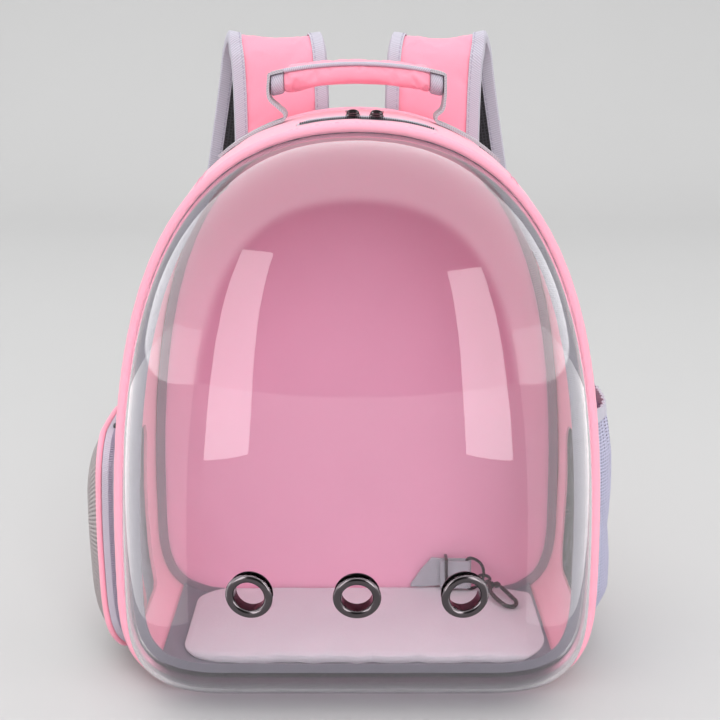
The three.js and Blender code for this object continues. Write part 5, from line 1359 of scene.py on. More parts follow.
def make_grip():
    rings = []
    a = round_angles(48)
    for x in np.linspace(-1, 1, 81) * GRIP_HALF_LENGTH:
        end = abs(x) / GRIP_HALF_LENGTH
        full = 1 - 0.05 * smoothstep(end, 0.9, 1.0) - 0.12 * smoothstep(end, 0.985, 1.0)
        power = 2 / GRIP_SQUARENESS
        across = np.sign(np.cos(a)) * np.abs(np.cos(a)) ** power
        up = np.sign(np.sin(a)) * np.abs(np.sin(a)) ** power
        places = np.stack([0 * a + x, across * 10, up * 10], axis=-1)
        creases = 0.035 * waves(places, 9, 2.0) * (0.4 + smoothstep(end, 0.55, 1.0))
        wrinkle = creases + 0.02 * waves(places, 22, 7.0)
        seam = 0.05 * np.exp(-(((a - PIPING_ANGLE) / 0.12) ** 2))
        size = full * (0.985 + wrinkle - seam)
        y = HANDLE_Y + (GRIP_HALF_DEPTH - GRIP_SKIN) * across * size
        rings.append(np.stack([0 * a + x, y, grip_height(x) + (GRIP_HALF_HEIGHT - GRIP_SKIN) * up * size],
                              axis=-1))
    return loft("handle_grip_cloth", rings)


def grip_held(places):
    """1 at the two ends and along the piped seam."""
    x, y, z = places.T
    ends = smoothstep(np.abs(x) / GRIP_HALF_LENGTH, 0.95, 0.99)
    angle = np.arctan2((z - grip_height(x)) / GRIP_HALF_HEIGHT, (y - HANDLE_Y) / GRIP_HALF_DEPTH)
    seam = np.exp(-(((angle - PIPING_ANGLE) / 0.1) ** 2))
    return np.maximum(ends, seam)


grip = done(swollen(make_grip(), grip_held, 3.0, 0.05, 1.0), strap_pink, "strap_pink", "handle_grip")


def tube(name, places, radius, count=10):
    """A round tube through places, each section square to the line."""
    places = [Vector(p) for p in places]
    rings, side = [], None
    for i, p in enumerate(places):
        way = (places[min(i + 1, len(places) - 1)] - places[max(i - 1, 0)]).normalized()
        side = (way.orthogonal() if side is None else side - side.dot(way) * way).normalized()
        up = way.cross(side)
        rings.append([p + radius * (math.cos(t) * side + math.sin(t) * up)
                      for t in round_angles(count)])
    return loft(name, rings)


piping_off = GRIP_PIPING_RADIUS + GAP
grip_line = [(x, HANDLE_Y + (GRIP_HALF_DEPTH + piping_off) * math.cos(PIPING_ANGLE),
              grip_height(x) + (GRIP_HALF_HEIGHT + piping_off) * math.sin(PIPING_ANGLE))
             for x in np.linspace(-GRIP_HALF_LENGTH, GRIP_HALF_LENGTH, 50)]
done(tube("handle_piping_cloth", grip_line, GRIP_PIPING_RADIUS), lilac_tape, "lilac_tape", "handle_piping")

# %% Handle webbing
def strip_rings(line, thickness, y_low, y_high, sway=0.0):
    """Sections across a webbing whose middle line lies in the XZ plane."""
    line = np.asarray(line, float)
    way = np.gradient(line, axis=0)
    way /= np.linalg.norm(way, axis=1)[:, None]
    off = np.stack([-way[:, 1], way[:, 0]], axis=1) * thickness / 2
    rings = []
    for p, o in zip(line, off):
        outer, inner = p + o, p - o
        rings.append([(inner[0], y_low, inner[1]), (outer[0], y_low, outer[1]),
                      (outer[0], (y_low + y_high) / 2, outer[1]),
                      (outer[0], y_high, outer[1]), (inner[0], y_high, inner[1]),
                      (inner[0], (y_low + y_high) / 2, inner[1])])
    return rings


def curve_through(points, per_span=8):
    """A centripetal Catmull-Rom curve through points, which keeps to them without loops."""
    p = np.asarray(points, float)
    p = np.vstack([2 * p[0] - p[1], p, 2 * p[-1] - p[-2]])
    out = []
    for i in range(1, len(p) - 2):
        knots = np.linalg.norm(np.diff(p[i - 1:i + 3], axis=0), axis=1) ** 0.5
        d0, d1, d2 = np.maximum(knots, 1e-6)
        t1 = ((p[i] - p[i - 1]) / d0 - (p[i + 1] - p[i - 1]) / (d0 + d1) + (p[i + 1] - p[i]) / d1) * d1
        t2 = ((p[i + 1] - p[i]) / d1 - (p[i + 2] - p[i]) / (d1 + d2) + (p[i + 2] - p[i + 1]) / d2) * d1
        c2 = -3 * p[i] + 3 * p[i + 1] - 2 * t1 - t2
        c3 = 2 * p[i] - 2 * p[i + 1] + t1 + t2
        for t in np.linspace(0, 1, per_span, endpoint=False):
            out.append(p[i] + t1 * t + c2 * t**2 + c3 * t**3)
    return np.array(out + [p[-2]])


def crown_distance(x):
    d = np.linspace(0, 140, 1401)
    return float(np.interp(x, wall(crown_s(d), HANDLE_Y)[:, 0], d))


WEB_LIFT = (GRIP_HALF_HEIGHT + piping_off) * math.sin(PIPING_ANGLE)


def make_cuff(name, side):
    """Ribbed tape round the end of the grip, under the webbing, which slants it off below."""
    rings, count = [], 40
    low, high = GRIP_HALF_LENGTH + GAP, HANDLE_HALF_SPAN - WEB_THICKNESS / 2 - 2 * GAP
    a = round_angles(count)
    for x in np.linspace(low, high, 9):
        edge = min(x - low, high - x) / (high - low)
        size = CUFF_FULLNESS - 0.1 * math.exp(-edge * 14)
        z = grip_height(x) + size * GRIP_HALF_HEIGHT * np.sin(a)
        top = grip_height(x) + WEB_LIFT - WEB_THICKNESS / 2 - 2 * GAP
        y = HANDLE_Y + (size - 0.08) * GRIP_HALF_DEPTH * np.cos(a)
        rings.append(np.stack([0 * a + side * x, y, np.minimum(z, top)], axis=-1))
    return loft(name, rings)


def handle_line(knee_at):
    off, turn = WEB_THICKNESS / 2 + 2 * GAP, WEB_TURN
    start = crown_distance(knee_at)
    knee = wall(float(crown_s(start)), HANDLE_Y, off)
    top = grip_height(HANDLE_HALF_SPAN) + WEB_LIFT
    cuff_foot = grip_height(HANDLE_HALF_SPAN) - CUFF_FULLNESS * GRIP_HALF_HEIGHT
    points = [(GRIP_HALF_LENGTH + GAP, grip_height(GRIP_HALF_LENGTH + GAP) + WEB_LIFT),
              (HANDLE_HALF_SPAN - 0.5 * turn, top),
              (HANDLE_HALF_SPAN - 0.1 * turn, top - 0.2 * turn), (HANDLE_HALF_SPAN, top - turn),
              (HANDLE_HALF_SPAN, cuff_foot - GAP), (knee[0] + turn, knee[2] + 3.2 * turn),
              (knee[0] - 0.6 * turn, knee[2] + 1.6 * turn), (knee[0] - 0.4 * turn, knee[2] + 0.35 * turn)]
    for k in range(1, 13):
        place = wall(float(crown_s(start + HANDLE_FOOT_LENGTH * k / 12)), HANDLE_Y, off)
        points.append((place[0], place[2]))
    return curve_through(points, 5)


for label, side in (("left", -1), ("right", 1)):
    done(make_cuff("handle_cuff_tape_" + label, side), lilac_tape, "lilac_tape", "handle_cuff_" + label)
    line = handle_line(HANDLE_KNEES[label]) * (side, 1)
    rings = strip_rings(line, WEB_THICKNESS, HANDLE_Y - HANDLE_WEB_WIDTH / 2, HANDLE_Y
                        + HANDLE_WEB_WIDTH / 2)
    done(loft("handle_web_" + label, rings), grey_webbing, "grey_webbing", "handle_webbing_" + label)

# %% [markdown]
# ## The shoulder straps
# Each strap is a long foam pad that rises from the back, folds over and hangs behind the bag, splaying
# outwards. Pink cloth covers the side away from the wearer's shoulder, dark spacer net the other, and
# ribbed binding is folded over both edges and sewn down. Each part is a section swept along one curve.

# %% The strap's line
STRAP_SPACING = 60.0
STRAP_WIDTH = 76.0
STRAP_THICKNESS = 8.0
STRAP_SKIN = 1.5
STRAP_SEAM_GAP = 1.0
STRAP_BINDING_WIDTH = 11.0
STRAP_BINDING_THICKNESS = 1.2
STRAP_FOOT_HEIGHT = 340.0
STRAP_SPREAD = 60.0
STRAP_REACH = 48.0
STRAP_RISE = 128.0
STRAP_DROP = 332.0
STRAP_HALF = STRAP_THICKNESS / 2 + STRAP_SEAM_GAP + STRAP_BINDING_THICKNESS
STRAP_FOOT_Y = BACK_Y + 2 * PIPING_RADIUS + 3 * GAP + STRAP_HALF
STRAP_UP = [(0, -0.06, 0), (0, 0, 0.24), (0, 0, 0.5), (0.01, 0.02, 0.75), (0.04, 0.12, 0.93)]
STRAP_DOWN = [(0.1, 0.36, 0, 1), (0.18, 0.6, 0.03, 1), (0.25, 0.76, 0.1, 1), (0.35, 0.9, 0.2, 1),
              (0.52, 0.98, 0.36, 0.98), (0.7, 1, 0.54, 0.93), (0.84, 0.88, 0.72, 0.86),
              (0.94, 0.66, 0.87, 0.76),
              (1, 0.42, 1, 0.62)]


def strap_frames(side, per_span=9):
    """Places down the strap with its across, face and local half width, as arrays."""
    rows = [(STRAP_SPACING + o * STRAP_SPREAD, STRAP_FOOT_Y + b * STRAP_REACH, STRAP_FOOT_HEIGHT
             + u * STRAP_RISE, 1)
            for o, b, u in STRAP_UP]
    rows += [(STRAP_SPACING + o * STRAP_SPREAD, STRAP_FOOT_Y + b * STRAP_REACH,
              STRAP_FOOT_HEIGHT + STRAP_RISE - d * STRAP_DROP, w) for o, b, d, w in STRAP_DOWN]
    rows = np.array(rows, float)
    place = curve_through(rows[:, :3] * (side, 1, 1), per_span)
    width = np.interp(np.linspace(0, len(rows) - 1, len(place)), range(len(rows)), rows[:, 3])
    way = np.gradient(place, axis=0)
    way /= np.linalg.norm(way, axis=1)[:, None]
    across = np.array([1.0, 0, 0]) - way * way[:, :1]
    across /= np.linalg.norm(across, axis=1)[:, None]
    face = -np.cross(across, way)
    return place, side * across, -face, width * STRAP_WIDTH / 2


FRAMES = {side: strap_frames(side) for side in (-1, 1)}


def strap_places(side, a, n):
    """Places at across a and height n off the pink face, for arrays over the strap's length."""
    place, across, face, _ = FRAMES[side]
    return place + across * np.asarray(a)[:, None] + face * np.asarray(n)[:, None]


def strap_loft(name, side, columns):
    """columns are (across, height) pairs of arrays over the strap's length."""
    rings = np.stack([strap_places(side, a, n) for a, n in columns], axis=1)
    return loft(name, rings)


# %% Strap pads, skins and bindings
def pad_columns(side):
    place, _, _, half = FRAMES[side]
    edge, top = half - STRAP_BINDING_THICKNESS - STRAP_SEAM_GAP, STRAP_THICKNESS / 2
    columns = []
    for share in np.linspace(-1, 1, 25):
        swell = (1 - abs(share) ** 5) * 1.3 - 1.0 - 0.9 * math.exp(-((abs(share) - 0.72) / 0.05) ** 2)
        soft = 0.35 * waves(place + np.array([share * 30, 0, 0]), 24, 3.0 + side)
        columns.append((share * edge, top + swell + soft))
    for share in np.linspace(1, -1, 13):
        columns.append((share * edge, 0 * edge - top + 0.6 * abs(share) ** 4))
    return columns


def pad_held(places, side):
    """1 under the bindings, at the ends and on the wearer's face."""
    line, across, face, half = FRAMES[side]
    near = np.linalg.norm(places[:, None] - line[None], axis=2).argmin(1)
    off = places - line[near]
    share = np.abs((off * across[near]).sum(1)) / half[near]
    low = (off * face[near]).sum(1) < 0
    ends = (near < 2) | (near > len(line) - 3)
    return np.maximum(smoothstep(share, 0.66, 0.74), np.maximum(low, ends))


def binding_columns(side, edge):
    place, _, _, half = FRAMES[side]
    top, t, deep = STRAP_THICKNESS / 2 + STRAP_SEAM_GAP, STRAP_BINDING_THICKNESS, half - STRAP_BINDING_WIDTH
    ripple = 0.2 * np.sin(np.arange(len(place)) * 1.9) + 0.15 * waves(place, 9, 5.0)
    turn = [(half - 2.4 + 2.4 * math.cos(a), (top + t + ripple * 0.3) * math.sin(a))
            for a in np.linspace(1.2, -1.2, 9)]
    outer = [(deep, top - 0.9 + t + ripple), (half - 5, top - 0.3 + t + ripple * 0.5)] + turn + [
        (half - 5, -(top + t) + 0.3 + 0 * half), (deep, -(top + t) + 0.9 + 0 * half)]
    inner = [(deep, -top + 0.6 + 0 * half), (half - t - 1, -top + 0 * half + 0.8),
             (half - t - 0.5, 0 * half),
             (half - t - 1, top + 0 * half - 0.8), (deep, top - 0.6 + 0 * half)]
    return [(edge * a, n) for a, n in outer + inner]


for label, side in (("left", -1), ("right", 1)):
    pad = swollen(strap_loft("strap_pad_cloth_" + label, side, pad_columns(side)),
                  lambda p: pad_held(p, side), 2.0, 0.03, 0.7)
    done(pad, strap_pink, "strap_pink", "strap_pad_" + label)
    half = FRAMES[side][3]
    edge = half - STRAP_BINDING_WIDTH - STRAP_SEAM_GAP + 2.5
    low = -STRAP_THICKNESS / 2 - GAP
    shares = np.linspace(1, -1, 13)
    columns = [(k * edge, 0 * edge + low) for k in shares]
    columns += [(k * edge, 0 * edge + low - STRAP_SKIN * (1 - 0.4 * k**6)) for k in shares[::-1]]
    done(strap_loft("strap_net_" + label, side, columns), strap_net, "black_mesh", "strap_skin_" + label)
    for where, edge_side in (("inner", -1), ("outer", 1)):
        binding = strap_loft(f"strap_tape_{where}_{label}", side, binding_columns(side, edge_side))
        done(binding, lilac_tape, "lilac_tape", f"strap_binding_{where}_{label}")
        lift = STRAP_THICKNESS / 2 + STRAP_SEAM_GAP + STRAP_BINDING_THICKNESS - 0.75
        for face in (1, -1):
            line = strap_places(side, edge_side * (half - STRAP_BINDING_WIDTH + 1.7), 0 * half
                                + face * lift)
            stitches = along_seam(f"strap_stitches_{where}_{label}_{'top' if face > 0 else 'under'}", line,
                                  face * FRAMES[side][2], STITCH, 4.2, lilac_thread, 0.06)
            done(stitches, lilac_thread, "lilac_tape")

# %% [markdown]
# ## Strap ends
# Below each pad a short webbing loop holds a black ladder buckle, and a longer webbing runs from it down
# to a cloth tab at the lower corner of the back. This part is out of the photograph's sight, so it takes
# the plain usual form.

# %% Strap loops, buckles, webbing and tabs
BUCKLE_START = 6.0
BUCKLE_WIDTH = 34.0
BUCKLE_LENGTH = 30.0
BUCKLE_THICKNESS = 3.0
BUCKLE_BAR = 4.0
STRAP_WEB_WIDTH = 25.0
STRAP_WEB_THICKNESS = 1.6
TAB_HEIGHT = 34.0
TAB_THICKNESS = 2.4
TAB_HALF_BASE = 24.0
TAB_LOW = 14.0
TAB_OUT = 116.0
LOOP_HALF = BUCKLE_THICKNESS / 2 + STRAP_WEB_THICKNESS / 2 + GAP


def strap_end(side):
    """The frame at the pad's lower end: X across, Y down the webbing and Z off the bag."""
    end = Vector(FRAMES[side][0][-1])
    tab = Vector((side * TAB_OUT, BACK_Y + PANEL_CROWN + GAP + TAB_THICKNESS / 2 - LOOP_HALF,
                  TAB_LOW + TAB_HEIGHT + STRAP_WEB_THICKNESS))
    way = tab - end
    length = way.length
    way.normalize()
    across = (Vector((1, 0, 0)) - way * way.x).normalized()
    turn = Matrix((across, way, across.cross(way))).transposed().to_4x4()
    return Matrix.Translation(end) @ turn, length


def loop_rings(place, start, bar, end):
    """Webbing from start, round a bar's far edge, and back to end."""
    way = 1 if bar > start else -1
    line = [(start, LOOP_HALF), ((start + bar) / 2, LOOP_HALF)]
    line += [(bar + way * LOOP_HALF * math.sin(t), LOOP_HALF * math.cos(t))
             for t in np.linspace(0, math.pi, 12)]
    line += [((end + bar) / 2, -LOOP_HALF), (end, -LOOP_HALF)]
    line = np.array(line)
    step = np.gradient(line, axis=0)
    step /= np.linalg.norm(step, axis=1)[:, None]
    off = np.stack([-step[:, 1], step[:, 0]], axis=1) * STRAP_WEB_THICKNESS / 2
    half = STRAP_WEB_WIDTH / 2
    return [[place @ Vector((x, *(p + k * o)))
             for x, k in ((-half, 1), (0, 1), (half, 1), (half, -1), (0, -1), (-half, -1))]
            for p, o in zip(line, off)]


def make_buckle(name, place):
    half, slot = BUCKLE_WIDTH / 2, (BUCKLE_LENGTH - 3 * BUCKLE_BAR) / 2
    thick = BUCKLE_THICKNESS / 2
    frame_loop = box_loop(-half, half, BUCKLE_START, BUCKLE_START + BUCKLE_LENGTH, 3.0, 40)
    piece = loft(name, [[(x, y, h) for x, y in frame_loop] for h in (-thick, thick)])
    plugs = []
    for low in (BUCKLE_START + BUCKLE_BAR, BUCKLE_START + 2 * BUCKLE_BAR + slot):
        hole = box_loop(-half + 3, half - 3, low, low + slot, 0.8)
        plugs.append(loft("plug", [[(x, y, h) for x, y in hole] for h in (-5, 5)]))
    carve(piece, *plugs)
    return soften(placed(piece, place), 0.6)


for label, side in (("left", -1), ("right", 1)):
    place, length = strap_end(side)
    start, last = 0.4 * BUCKLE_START, BUCKLE_START + BUCKLE_LENGTH - BUCKLE_BAR
    loop = loft("strap_end_loop_" + label, loop_rings(place, start, BUCKLE_START + BUCKLE_BAR, start))
    done(loop, grey_webbing, "grey_webbing", "strap_loop_" + label)
    done(make_buckle("strap_ladder_" + label, place), black_plastic, "black_plastic", "strap_buckle_"
         + label)
    web = loft("strap_web_" + label, loop_rings(place, length - GAP, last, last + 26))
    done(web, grey_webbing, "grey_webbing", "strap_webbing_" + label)
    top, y = STRAP_WEB_WIDTH / 2 + 2, BACK_Y + PANEL_CROWN + GAP
    corners = [(-TAB_HALF_BASE, TAB_LOW), (TAB_HALF_BASE, TAB_LOW + 4), (top, TAB_LOW + TAB_HEIGHT),
               (-top, TAB_LOW + TAB_HEIGHT)]
    tab = loft("strap_tab_cloth_" + label, [[(side * TAB_OUT + cx, yy, cz) for cx, cz in corners]
                                            for yy in (y, y + TAB_THICKNESS)])
    done(soften(tab, 0.8, 3), pink_cloth, "pink_oxford", "strap_tab_" + label)

# %% [markdown]
# ## The safety leash
# A short leash comes from the back seam and lies on the mat. Ribbed webbing stands on its edge, passes a
# dark metal adjuster and turns back round the straight bar of a D-shaped ring. A snap hook hangs in the
# ring, with a sprung gate that is a body of its own and turns on a pin beside the hook's shoulder.

# %% Leash webbing and adjuster
LEASH_WIDTH = 25.0
LEASH_THICKNESS = 1.6
LEASH_Y = 60.0
LEASH_START = 46.0
LEASH_END = 97.0
LEASH_LOOP = 4.4
RING_DEPTH = 15.0
RING_WIRE = 1.3
ADJUSTER_X = 76.0
ADJUSTER_BAR = 2.6
LEASH_FLOOR = MAT_TOP + GAP
LEASH_LOW = LEASH_FLOOR + 2 * RING_WIRE + GAP


def leash_rows():
    low, high = LEASH_LOW, LEASH_LOW + LEASH_WIDTH
    half, behind = LEASH_LOOP / 2 + LEASH_THICKNESS / 2, FLOOR_BACK - 2
    rows = [(LEASH_START, behind, LEASH_FLOOR, LEASH_FLOOR + 2),
            (LEASH_START + 9, behind - 0.5, LEASH_FLOOR, low + 0.55 * LEASH_WIDTH),
            (LEASH_START + 18, behind - 1.5, LEASH_FLOOR + RING_WIRE, high),
            (ADJUSTER_X - 4, LEASH_Y + half, low, high), (LEASH_END - half, LEASH_Y + half, low, high)]
    for a in np.linspace(0, math.pi, 14)[1:-1]:
        rows.append((LEASH_END - half + half * math.sin(a), LEASH_Y + half * math.cos(a), low, high))
    return np.array(rows + [(LEASH_END - half, LEASH_Y - half, low, high),
                            (ADJUSTER_X - 5, LEASH_Y - half, low, high)])


def make_leash():
    rows = leash_rows()
    way = np.gradient(rows[:, :2], axis=0)
    way /= np.linalg.norm(way, axis=1)[:, None]
    off = np.stack([-way[:, 1], way[:, 0]], axis=1) * LEASH_THICKNESS / 2
    rings = [[(r[0] + k * o[0], r[1] + k * o[1], z) for k, z in
              ((1, r[2]), (-1, r[2]), (-1, (r[2] + r[3]) / 2), (-1, r[3]), (1, r[3]),
               (1, (r[2] + r[3]) / 2))]
             for r, o in zip(rows, off)]
    return loft("leash_web", rings)


def make_adjuster():
    wide = LEASH_LOOP / 2 + LEASH_THICKNESS + 2 * GAP
    top = LEASH_LOW + LEASH_WIDTH + GAP
    outer = box_loop(LEASH_Y - wide - ADJUSTER_BAR, LEASH_Y + wide + ADJUSTER_BAR, LEASH_FLOOR, top
                     + ADJUSTER_BAR, 1.2, 40)
    hole = box_loop(LEASH_Y - wide, LEASH_Y + wide, LEASH_LOW - GAP, top, 0.6)
    turn = Matrix(((0, 0, 1), (1, 0, 0), (0, 1, 0))).to_4x4()
    return soften(slab("adjuster_metal", outer, -ADJUSTER_BAR / 2, ADJUSTER_BAR / 2,
                       Matrix.Translation((ADJUSTER_X, 0, 0)) @ turn, hole), 0.5)


done(make_leash(), grey_webbing, "grey_webbing", "leash_webbing")
done(make_adjuster(), gunmetal, "gunmetal", "leash_adjuster")

# %% Ring, snap hook and gate
HOOK_LENGTH = 30.0
HOOK_HALF_WIDTH = 7.0
HOOK_WIRE = 1.8
HOOK_EYE_RADIUS = 5.0
HOOK_TURN = -1.02
HOOK_DIP = 0.22
GATE_CLEARANCE = 0.8
SHOULDER_REACH = 2.2
RING_X = LEASH_END - LEASH_THICKNESS - RING_WIRE - GAP
RING_Z = LEASH_LOW + LEASH_WIDTH / 2
HOOK_BACK = HOOK_EYE_RADIUS + HOOK_WIRE + 5
GATE_X = HOOK_BACK + SHOULDER_REACH + GATE_CLEARANCE
GATE_Y = HOOK_HALF_WIDTH - GAP
hook_place = (Matrix.Translation((RING_X + RING_DEPTH + 0.4, LEASH_Y - 1.6, RING_Z - 4))
              @ Matrix.Rotation(HOOK_TURN, 4, "Z") @ Matrix.Rotation(HOOK_DIP, 4, "Y"))


def closed_tube(name, places, radius, normal, count=12):
    """A round tube along a closed flat line, whose plane has the given normal."""
    places, normal = [Vector(p) for p in places], Vector(normal)
    rings = []
    for i, p in enumerate(places):
        way = (places[(i + 1) % len(places)] - places[i - 1]).normalized()
        side = way.cross(normal)
        rings.append([p + radius * (math.cos(t) * side + math.sin(t) * normal)
                      for t in round_angles(count)])
    return loft(name, rings, ends_joined=True)


def ring_line():
    half = LEASH_WIDTH / 2 + GAP + RING_WIRE
    corners = [(0, -0.8), (0, 0), (0, 0.8), (0.08, 0.96), (0.25, 1), (0.6, 0.85), (0.9, 0.5), (1, 0),
               (0.9, -0.5),
               (0.6, -0.85), (0.25, -1), (0.08, -0.96)]
    points = [(RING_X + x * RING_DEPTH, LEASH_Y, RING_Z + z * half) for x, z in corners]
    smooth = curve_through(points[-2:] + points + points[:2], 6)
    return smooth[12:-13]


def hook_parts():
    w, tip = HOOK_HALF_WIDTH, HOOK_BACK + HOOK_LENGTH
    bow = curve_through([(HOOK_BACK - 2, 0, 0), (HOOK_BACK + 2, -0.55 * w, 0),
                         (HOOK_BACK + 7, -0.95 * w, 0),
                         (tip - 1.4 * w, -w, 0), (tip - 0.4 * w, -0.75 * w, 0), (tip, 0, 0),
                         (tip - 0.4 * w, 0.75 * w, 0),
                         (tip - w, w, 0)], 7)
    eye = [(HOOK_EYE_RADIUS * math.cos(t), HOOK_EYE_RADIUS * math.sin(t), 0)
           for t in round_angles(40)]
    neck = [[(x, r * math.cos(t), r * math.sin(t)) for t in round_angles(20)]
            for x, r in ((4.2, 1.8), (5.2, 2.8), (6.2, 2.4), (8.6, 2.5), (9.2, 3.3), (11.2, 3.3),
                         (11.8, 2.6))]
    shoulder = box_loop(HOOK_BACK - 3, HOOK_BACK + SHOULDER_REACH, 0.3 * w, w + 0.6 * HOOK_WIRE, 0.8, 24)
    slab_half = 0.7 * HOOK_WIRE
    parts = [tube("bow", bow, HOOK_WIRE, 12), closed_tube("eye", eye, 0.75 * HOOK_WIRE, (0, 0, 1)),
             loft("neck", neck),
             soften(slab("shoulder", shoulder, -slab_half, slab_half, Matrix.Identity(4)), 0.4)]
    piece = joined("snap_hook_metal", parts)
    return placed(piece, hook_place)


def make_gate():
    reach = HOOK_BACK + HOOK_LENGTH - HOOK_HALF_WIDTH - GATE_X - 2 * GAP
    loop = box_loop(GATE_X, GATE_X + reach, GATE_Y - 0.8 * HOOK_WIRE, GATE_Y + 0.8 * HOOK_WIRE, 1.0, 32)
    return soften(slab("snap_gate_metal", loop, -0.7 * HOOK_WIRE, 0.7 * HOOK_WIRE, hook_place), 0.35)


done(closed_tube("ring_metal", ring_line(), RING_WIRE, (0, 1, 0)), gunmetal, "gunmetal", "leash_ring")
done(hook_parts(), gunmetal, "gunmetal", "snap_hook")
done(make_gate(), gunmetal, "gunmetal", "snap_gate", body="snap_gate")

# %% [markdown]
# ## Seam stitches
# The lines of thread show how the bag is sewn: beside both pipings, along the cross seams on the
# shoulders, down the pocket's tape and round the raised field of the back.

# %% Stitches on the wall, the pocket and the back
ring_s = np.linspace(-HALF, HALF, 500, endpoint=False)
for label, y in (("front", FRONT_Y + 6.5), ("back", BACK_Y - 6.5)):
    relief = wall_relief(ring_s, 0 * ring_s + y)
    places, outs = wall_out(ring_s, 0 * ring_s + y, relief + 0.1)
    keep = np.abs(ring_s) > 150
    order = np.roll(np.arange(len(ring_s)), -int(np.where(~keep)[0][-1]) - 1)[:keep.sum()]
    line = along_seam("wall_stitches_" + label, places[order], outs[order], STITCH, 4.5, pink_thread, 0.05)
    done(line, pink_thread, "pink_oxford")

for label, side in (("left", -1), ("right", 1)):
    parts = []
    for offset in (-3.2, 3.2):
        y = np.linspace(FRONT_Y + 8, BACK_Y - 8, 40)
        s = 0 * y + side * (HALF - CROSS_SEAM + offset)
        places, outs = wall_out(s, y, wall_relief(s, y) + 0.15)
        parts.append(along_seam(f"cross_{label}_{offset}", places, outs, STITCH, 4.5, pink_thread, 0.05))
    done(joined("cross_seam_stitches_" + label, parts), pink_thread, "pink_oxford")

tape_lines = []
for share in (-0.75, 0.75):
    run = POCKET_BASE + tape_places[:, 0] - share * tape_ways[:, 1] * tape_half
    depth = POCKET_CENTRE_Y + tape_places[:, 1] + share * tape_ways[:, 0] * tape_half
    places, outs = wall_out(run, depth, POCKET_EDGE + 1.3)
    tape_lines.append(along_seam(f"tape_line_{share}", places, outs, STITCH, 4.2, lilac_thread, 0.05))
done(joined("pocket_stitches", tape_lines), lilac_thread, "lilac_tape")

x, z = shrunk(ring_s, WALL + GAP, 0.875)
field = np.stack([x, 0 * x + BACK_Y + PANEL_CROWN - 0.8, z], axis=-1)
field_outs = np.tile((0.0, 1.0, 0.0), (len(field), 1))
field_line = along_seam("back_stitches", field, field_outs, STITCH, 4.5, pink_thread, 0.05, closed=True)
done(field_line, pink_thread, "pink_oxford")

for helper in (STITCH, TOOTH):
    bpy.data.objects.remove(helper)

# %% [markdown]
# ## Floor, light and camera
# A plain pale floor turns up behind the bag. Two tall lamps at the sides and two panels low on the
# floor are seen only as reflections in the dome and the metal. Two far lamps, in front and above, light
# the cloth. The camera stands in front, above the bag, and looks down by about fifteen degrees.

# %% Stage
FLOOR_TONE = colour(195, 195, 195)
FLOOR_TONE_LIGHT = colour(198, 198, 198)
AMBIENT = 0.8
REFLECTED_PALE = 2.7
REFLECTED_DARK = 0.1
PANEL_TURN = math.radians(59)
PANEL_SLOPE = 0.26
PANEL_LONG = 2.2
PANEL_WIDE = 1.1
PANEL_POWER = 14.0
PANEL_CORNER = (0.11, -0.16, 0.003)
PANEL_STAND_OFF = 0.1


def make_floor():
    profile = [(-3.0, 0.0), (2.2, 0.0)] + [(2.2 + 0.8 * math.sin(t), 0.8 - 0.8 * math.cos(t))
                                           for t in np.linspace(0.1, math.pi / 2, 12)] + [(3.0, 3.4)]
    verts = [(x, y, z - 0.0002) for y, z in profile for x in (-4.0, 4.0)]
    faces = [(2 * k, 2 * k + 1, 2 * k + 3, 2 * k + 2) for k in range(len(profile) - 1)]
    mesh = bpy.data.meshes.new("floor")
    mesh.from_pydata(verts, [], faces)
    mesh.shade_smooth()
    floor = linked("floor", mesh)
    finish, tree, shader = begin("pale floor", FLOOR_TONE, 1.0)
    slow = effect(tree, TONE, object_place(tree), Scale=2.0)
    toned(tree, shader, slow.outputs["Tone"], FLOOR_TONE, FLOOR_TONE_LIGHT)
    mesh.materials.append(finish)


def area_lamp(name, place, target, width, height, power, shows):
    """A rectangular lamp. shows True leaves only its reflections, and False leaves only its light."""
    data = bpy.data.lights.new(name, "AREA")
    data.shape, data.size, data.size_y, data.energy = "RECTANGLE", width, height, power
    lamp = linked(name, data)
    lamp.location = place
    lamp.rotation_euler = (Vector(target) - Vector(place)).to_track_quat("-Z", "Y").to_euler()
    lamp.visible_glossy, lamp.visible_diffuse = shows, not shows
    lamp.visible_camera = lamp.visible_transmission = False
    return lamp


def low_panel(name, side):
    """A bright panel flat on the floor beside the bag, which only the dome and the metal reflect."""
    way = Vector((side * math.sin(PANEL_TURN), -math.cos(PANEL_TURN), PANEL_SLOPE)).normalized()
    across = Vector((side * math.cos(PANEL_TURN), math.sin(PANEL_TURN), 0))
    place = Vector(PANEL_CORNER) * Vector((side, 1, 1)) + way * (PANEL_LONG / 2 + PANEL_STAND_OFF)
    place += across * PANEL_WIDE / 2
    back = -way.cross(across) * side
    lamp = area_lamp(name, place, place + Vector((0, 0, 1)), PANEL_LONG, PANEL_WIDE, PANEL_POWER, True)
    lamp.rotation_euler = Matrix((way, back.cross(way), back)).transposed().to_euler()


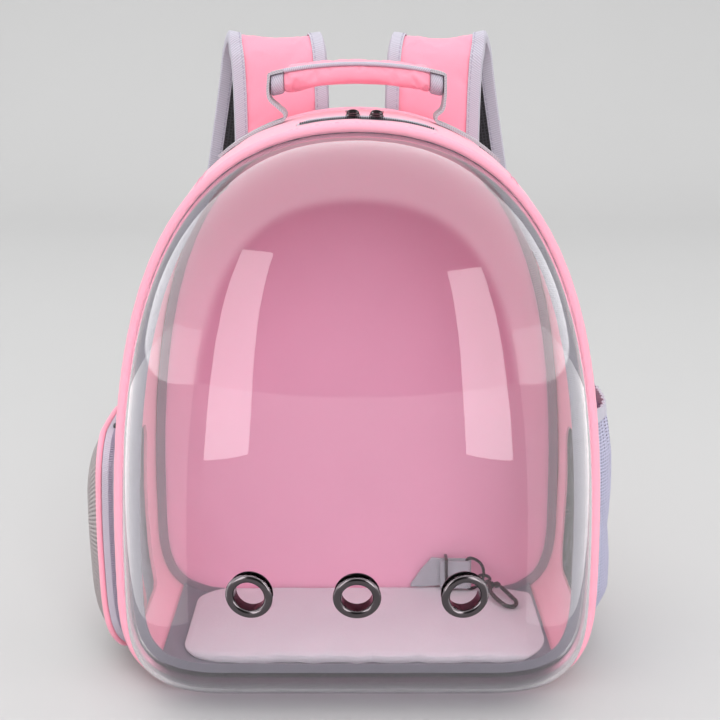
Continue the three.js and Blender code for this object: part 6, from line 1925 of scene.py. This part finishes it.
def studio_world():
    """Even pale surroundings. Reflections see a dark room in front, which keeps the dome's middle clear."""
    world = bpy.data.worlds.new("studio")
    bpy.context.scene.world = world
    world.use_nodes = True
    tree = world.node_tree
    way = tree.nodes.new("ShaderNodeTexCoord").outputs["Generated"]
    front = add_node(tree, "ShaderNodeVectorMath", {0: way, 1: (0, -1, 0)}, operation="DOT_PRODUCT")
    room = add_node(tree, "ShaderNodeMapRange", {0: front.outputs["Value"], 1: 0.46, 2: 0.56,
                                                 3: REFLECTED_PALE, 4: REFLECTED_DARK})
    rays = tree.nodes.new("ShaderNodeLightPath")
    level = add_node(tree, "ShaderNodeMix", {"Factor": rays.outputs["Is Glossy Ray"], 2: AMBIENT})
    tree.links.new(room.outputs[0], level.inputs[3])
    tree.links.new(level.outputs[0], tree.nodes["Background"].inputs["Strength"])
    tree.nodes["Background"].inputs["Color"].default_value = (1, 1, 1, 1)


make_floor()
studio_world()
area_lamp("left softbox", (-0.584, -0.773, 0.44), (-0.07, -0.16, 0.44), 0.3, 0.86, 5.5, True)
area_lamp("right softbox", (0.595, -0.764, 0.37), (0.07, -0.16, 0.37), 0.32, 0.72, 5.2, True)
for label, side in (("left", -1), ("right", 1)):
    low_panel(label + " low panel", side)
area_lamp("front fill", (0.6, -4.0, 3.4), (0, 0, 0.2), 3.2, 2.4, 125, False)
area_lamp("top fill", (-0.8, -0.4, 5.0), (0, 0, 0.2), 4.0, 3.6, 85, False)
bpy.context.scene.view_settings.view_transform = "Standard"

# %% Camera
CAMERA_PLACE = (0.0, -0.94, 0.484)
CAMERA_TILT = 14.9
SENSOR_WIDTH = 36
FOCAL_PIXELS = 1269.0
FRAME_PIXELS = 720.0
PRINCIPAL_SHIFT_PIXELS = 3.0
camera_data = bpy.data.cameras.new("camera")
camera_data.sensor_width = SENSOR_WIDTH
camera_data.lens = SENSOR_WIDTH * FOCAL_PIXELS / FRAME_PIXELS
camera_data.shift_x = PRINCIPAL_SHIFT_PIXELS / FRAME_PIXELS
camera = linked("camera", camera_data)
camera.location = CAMERA_PLACE
camera.rotation_euler = (math.radians(90 - CAMERA_TILT), 0, 0)
bpy.context.scene.camera = camera
print("lens", round(camera_data.lens, 2), "mm")
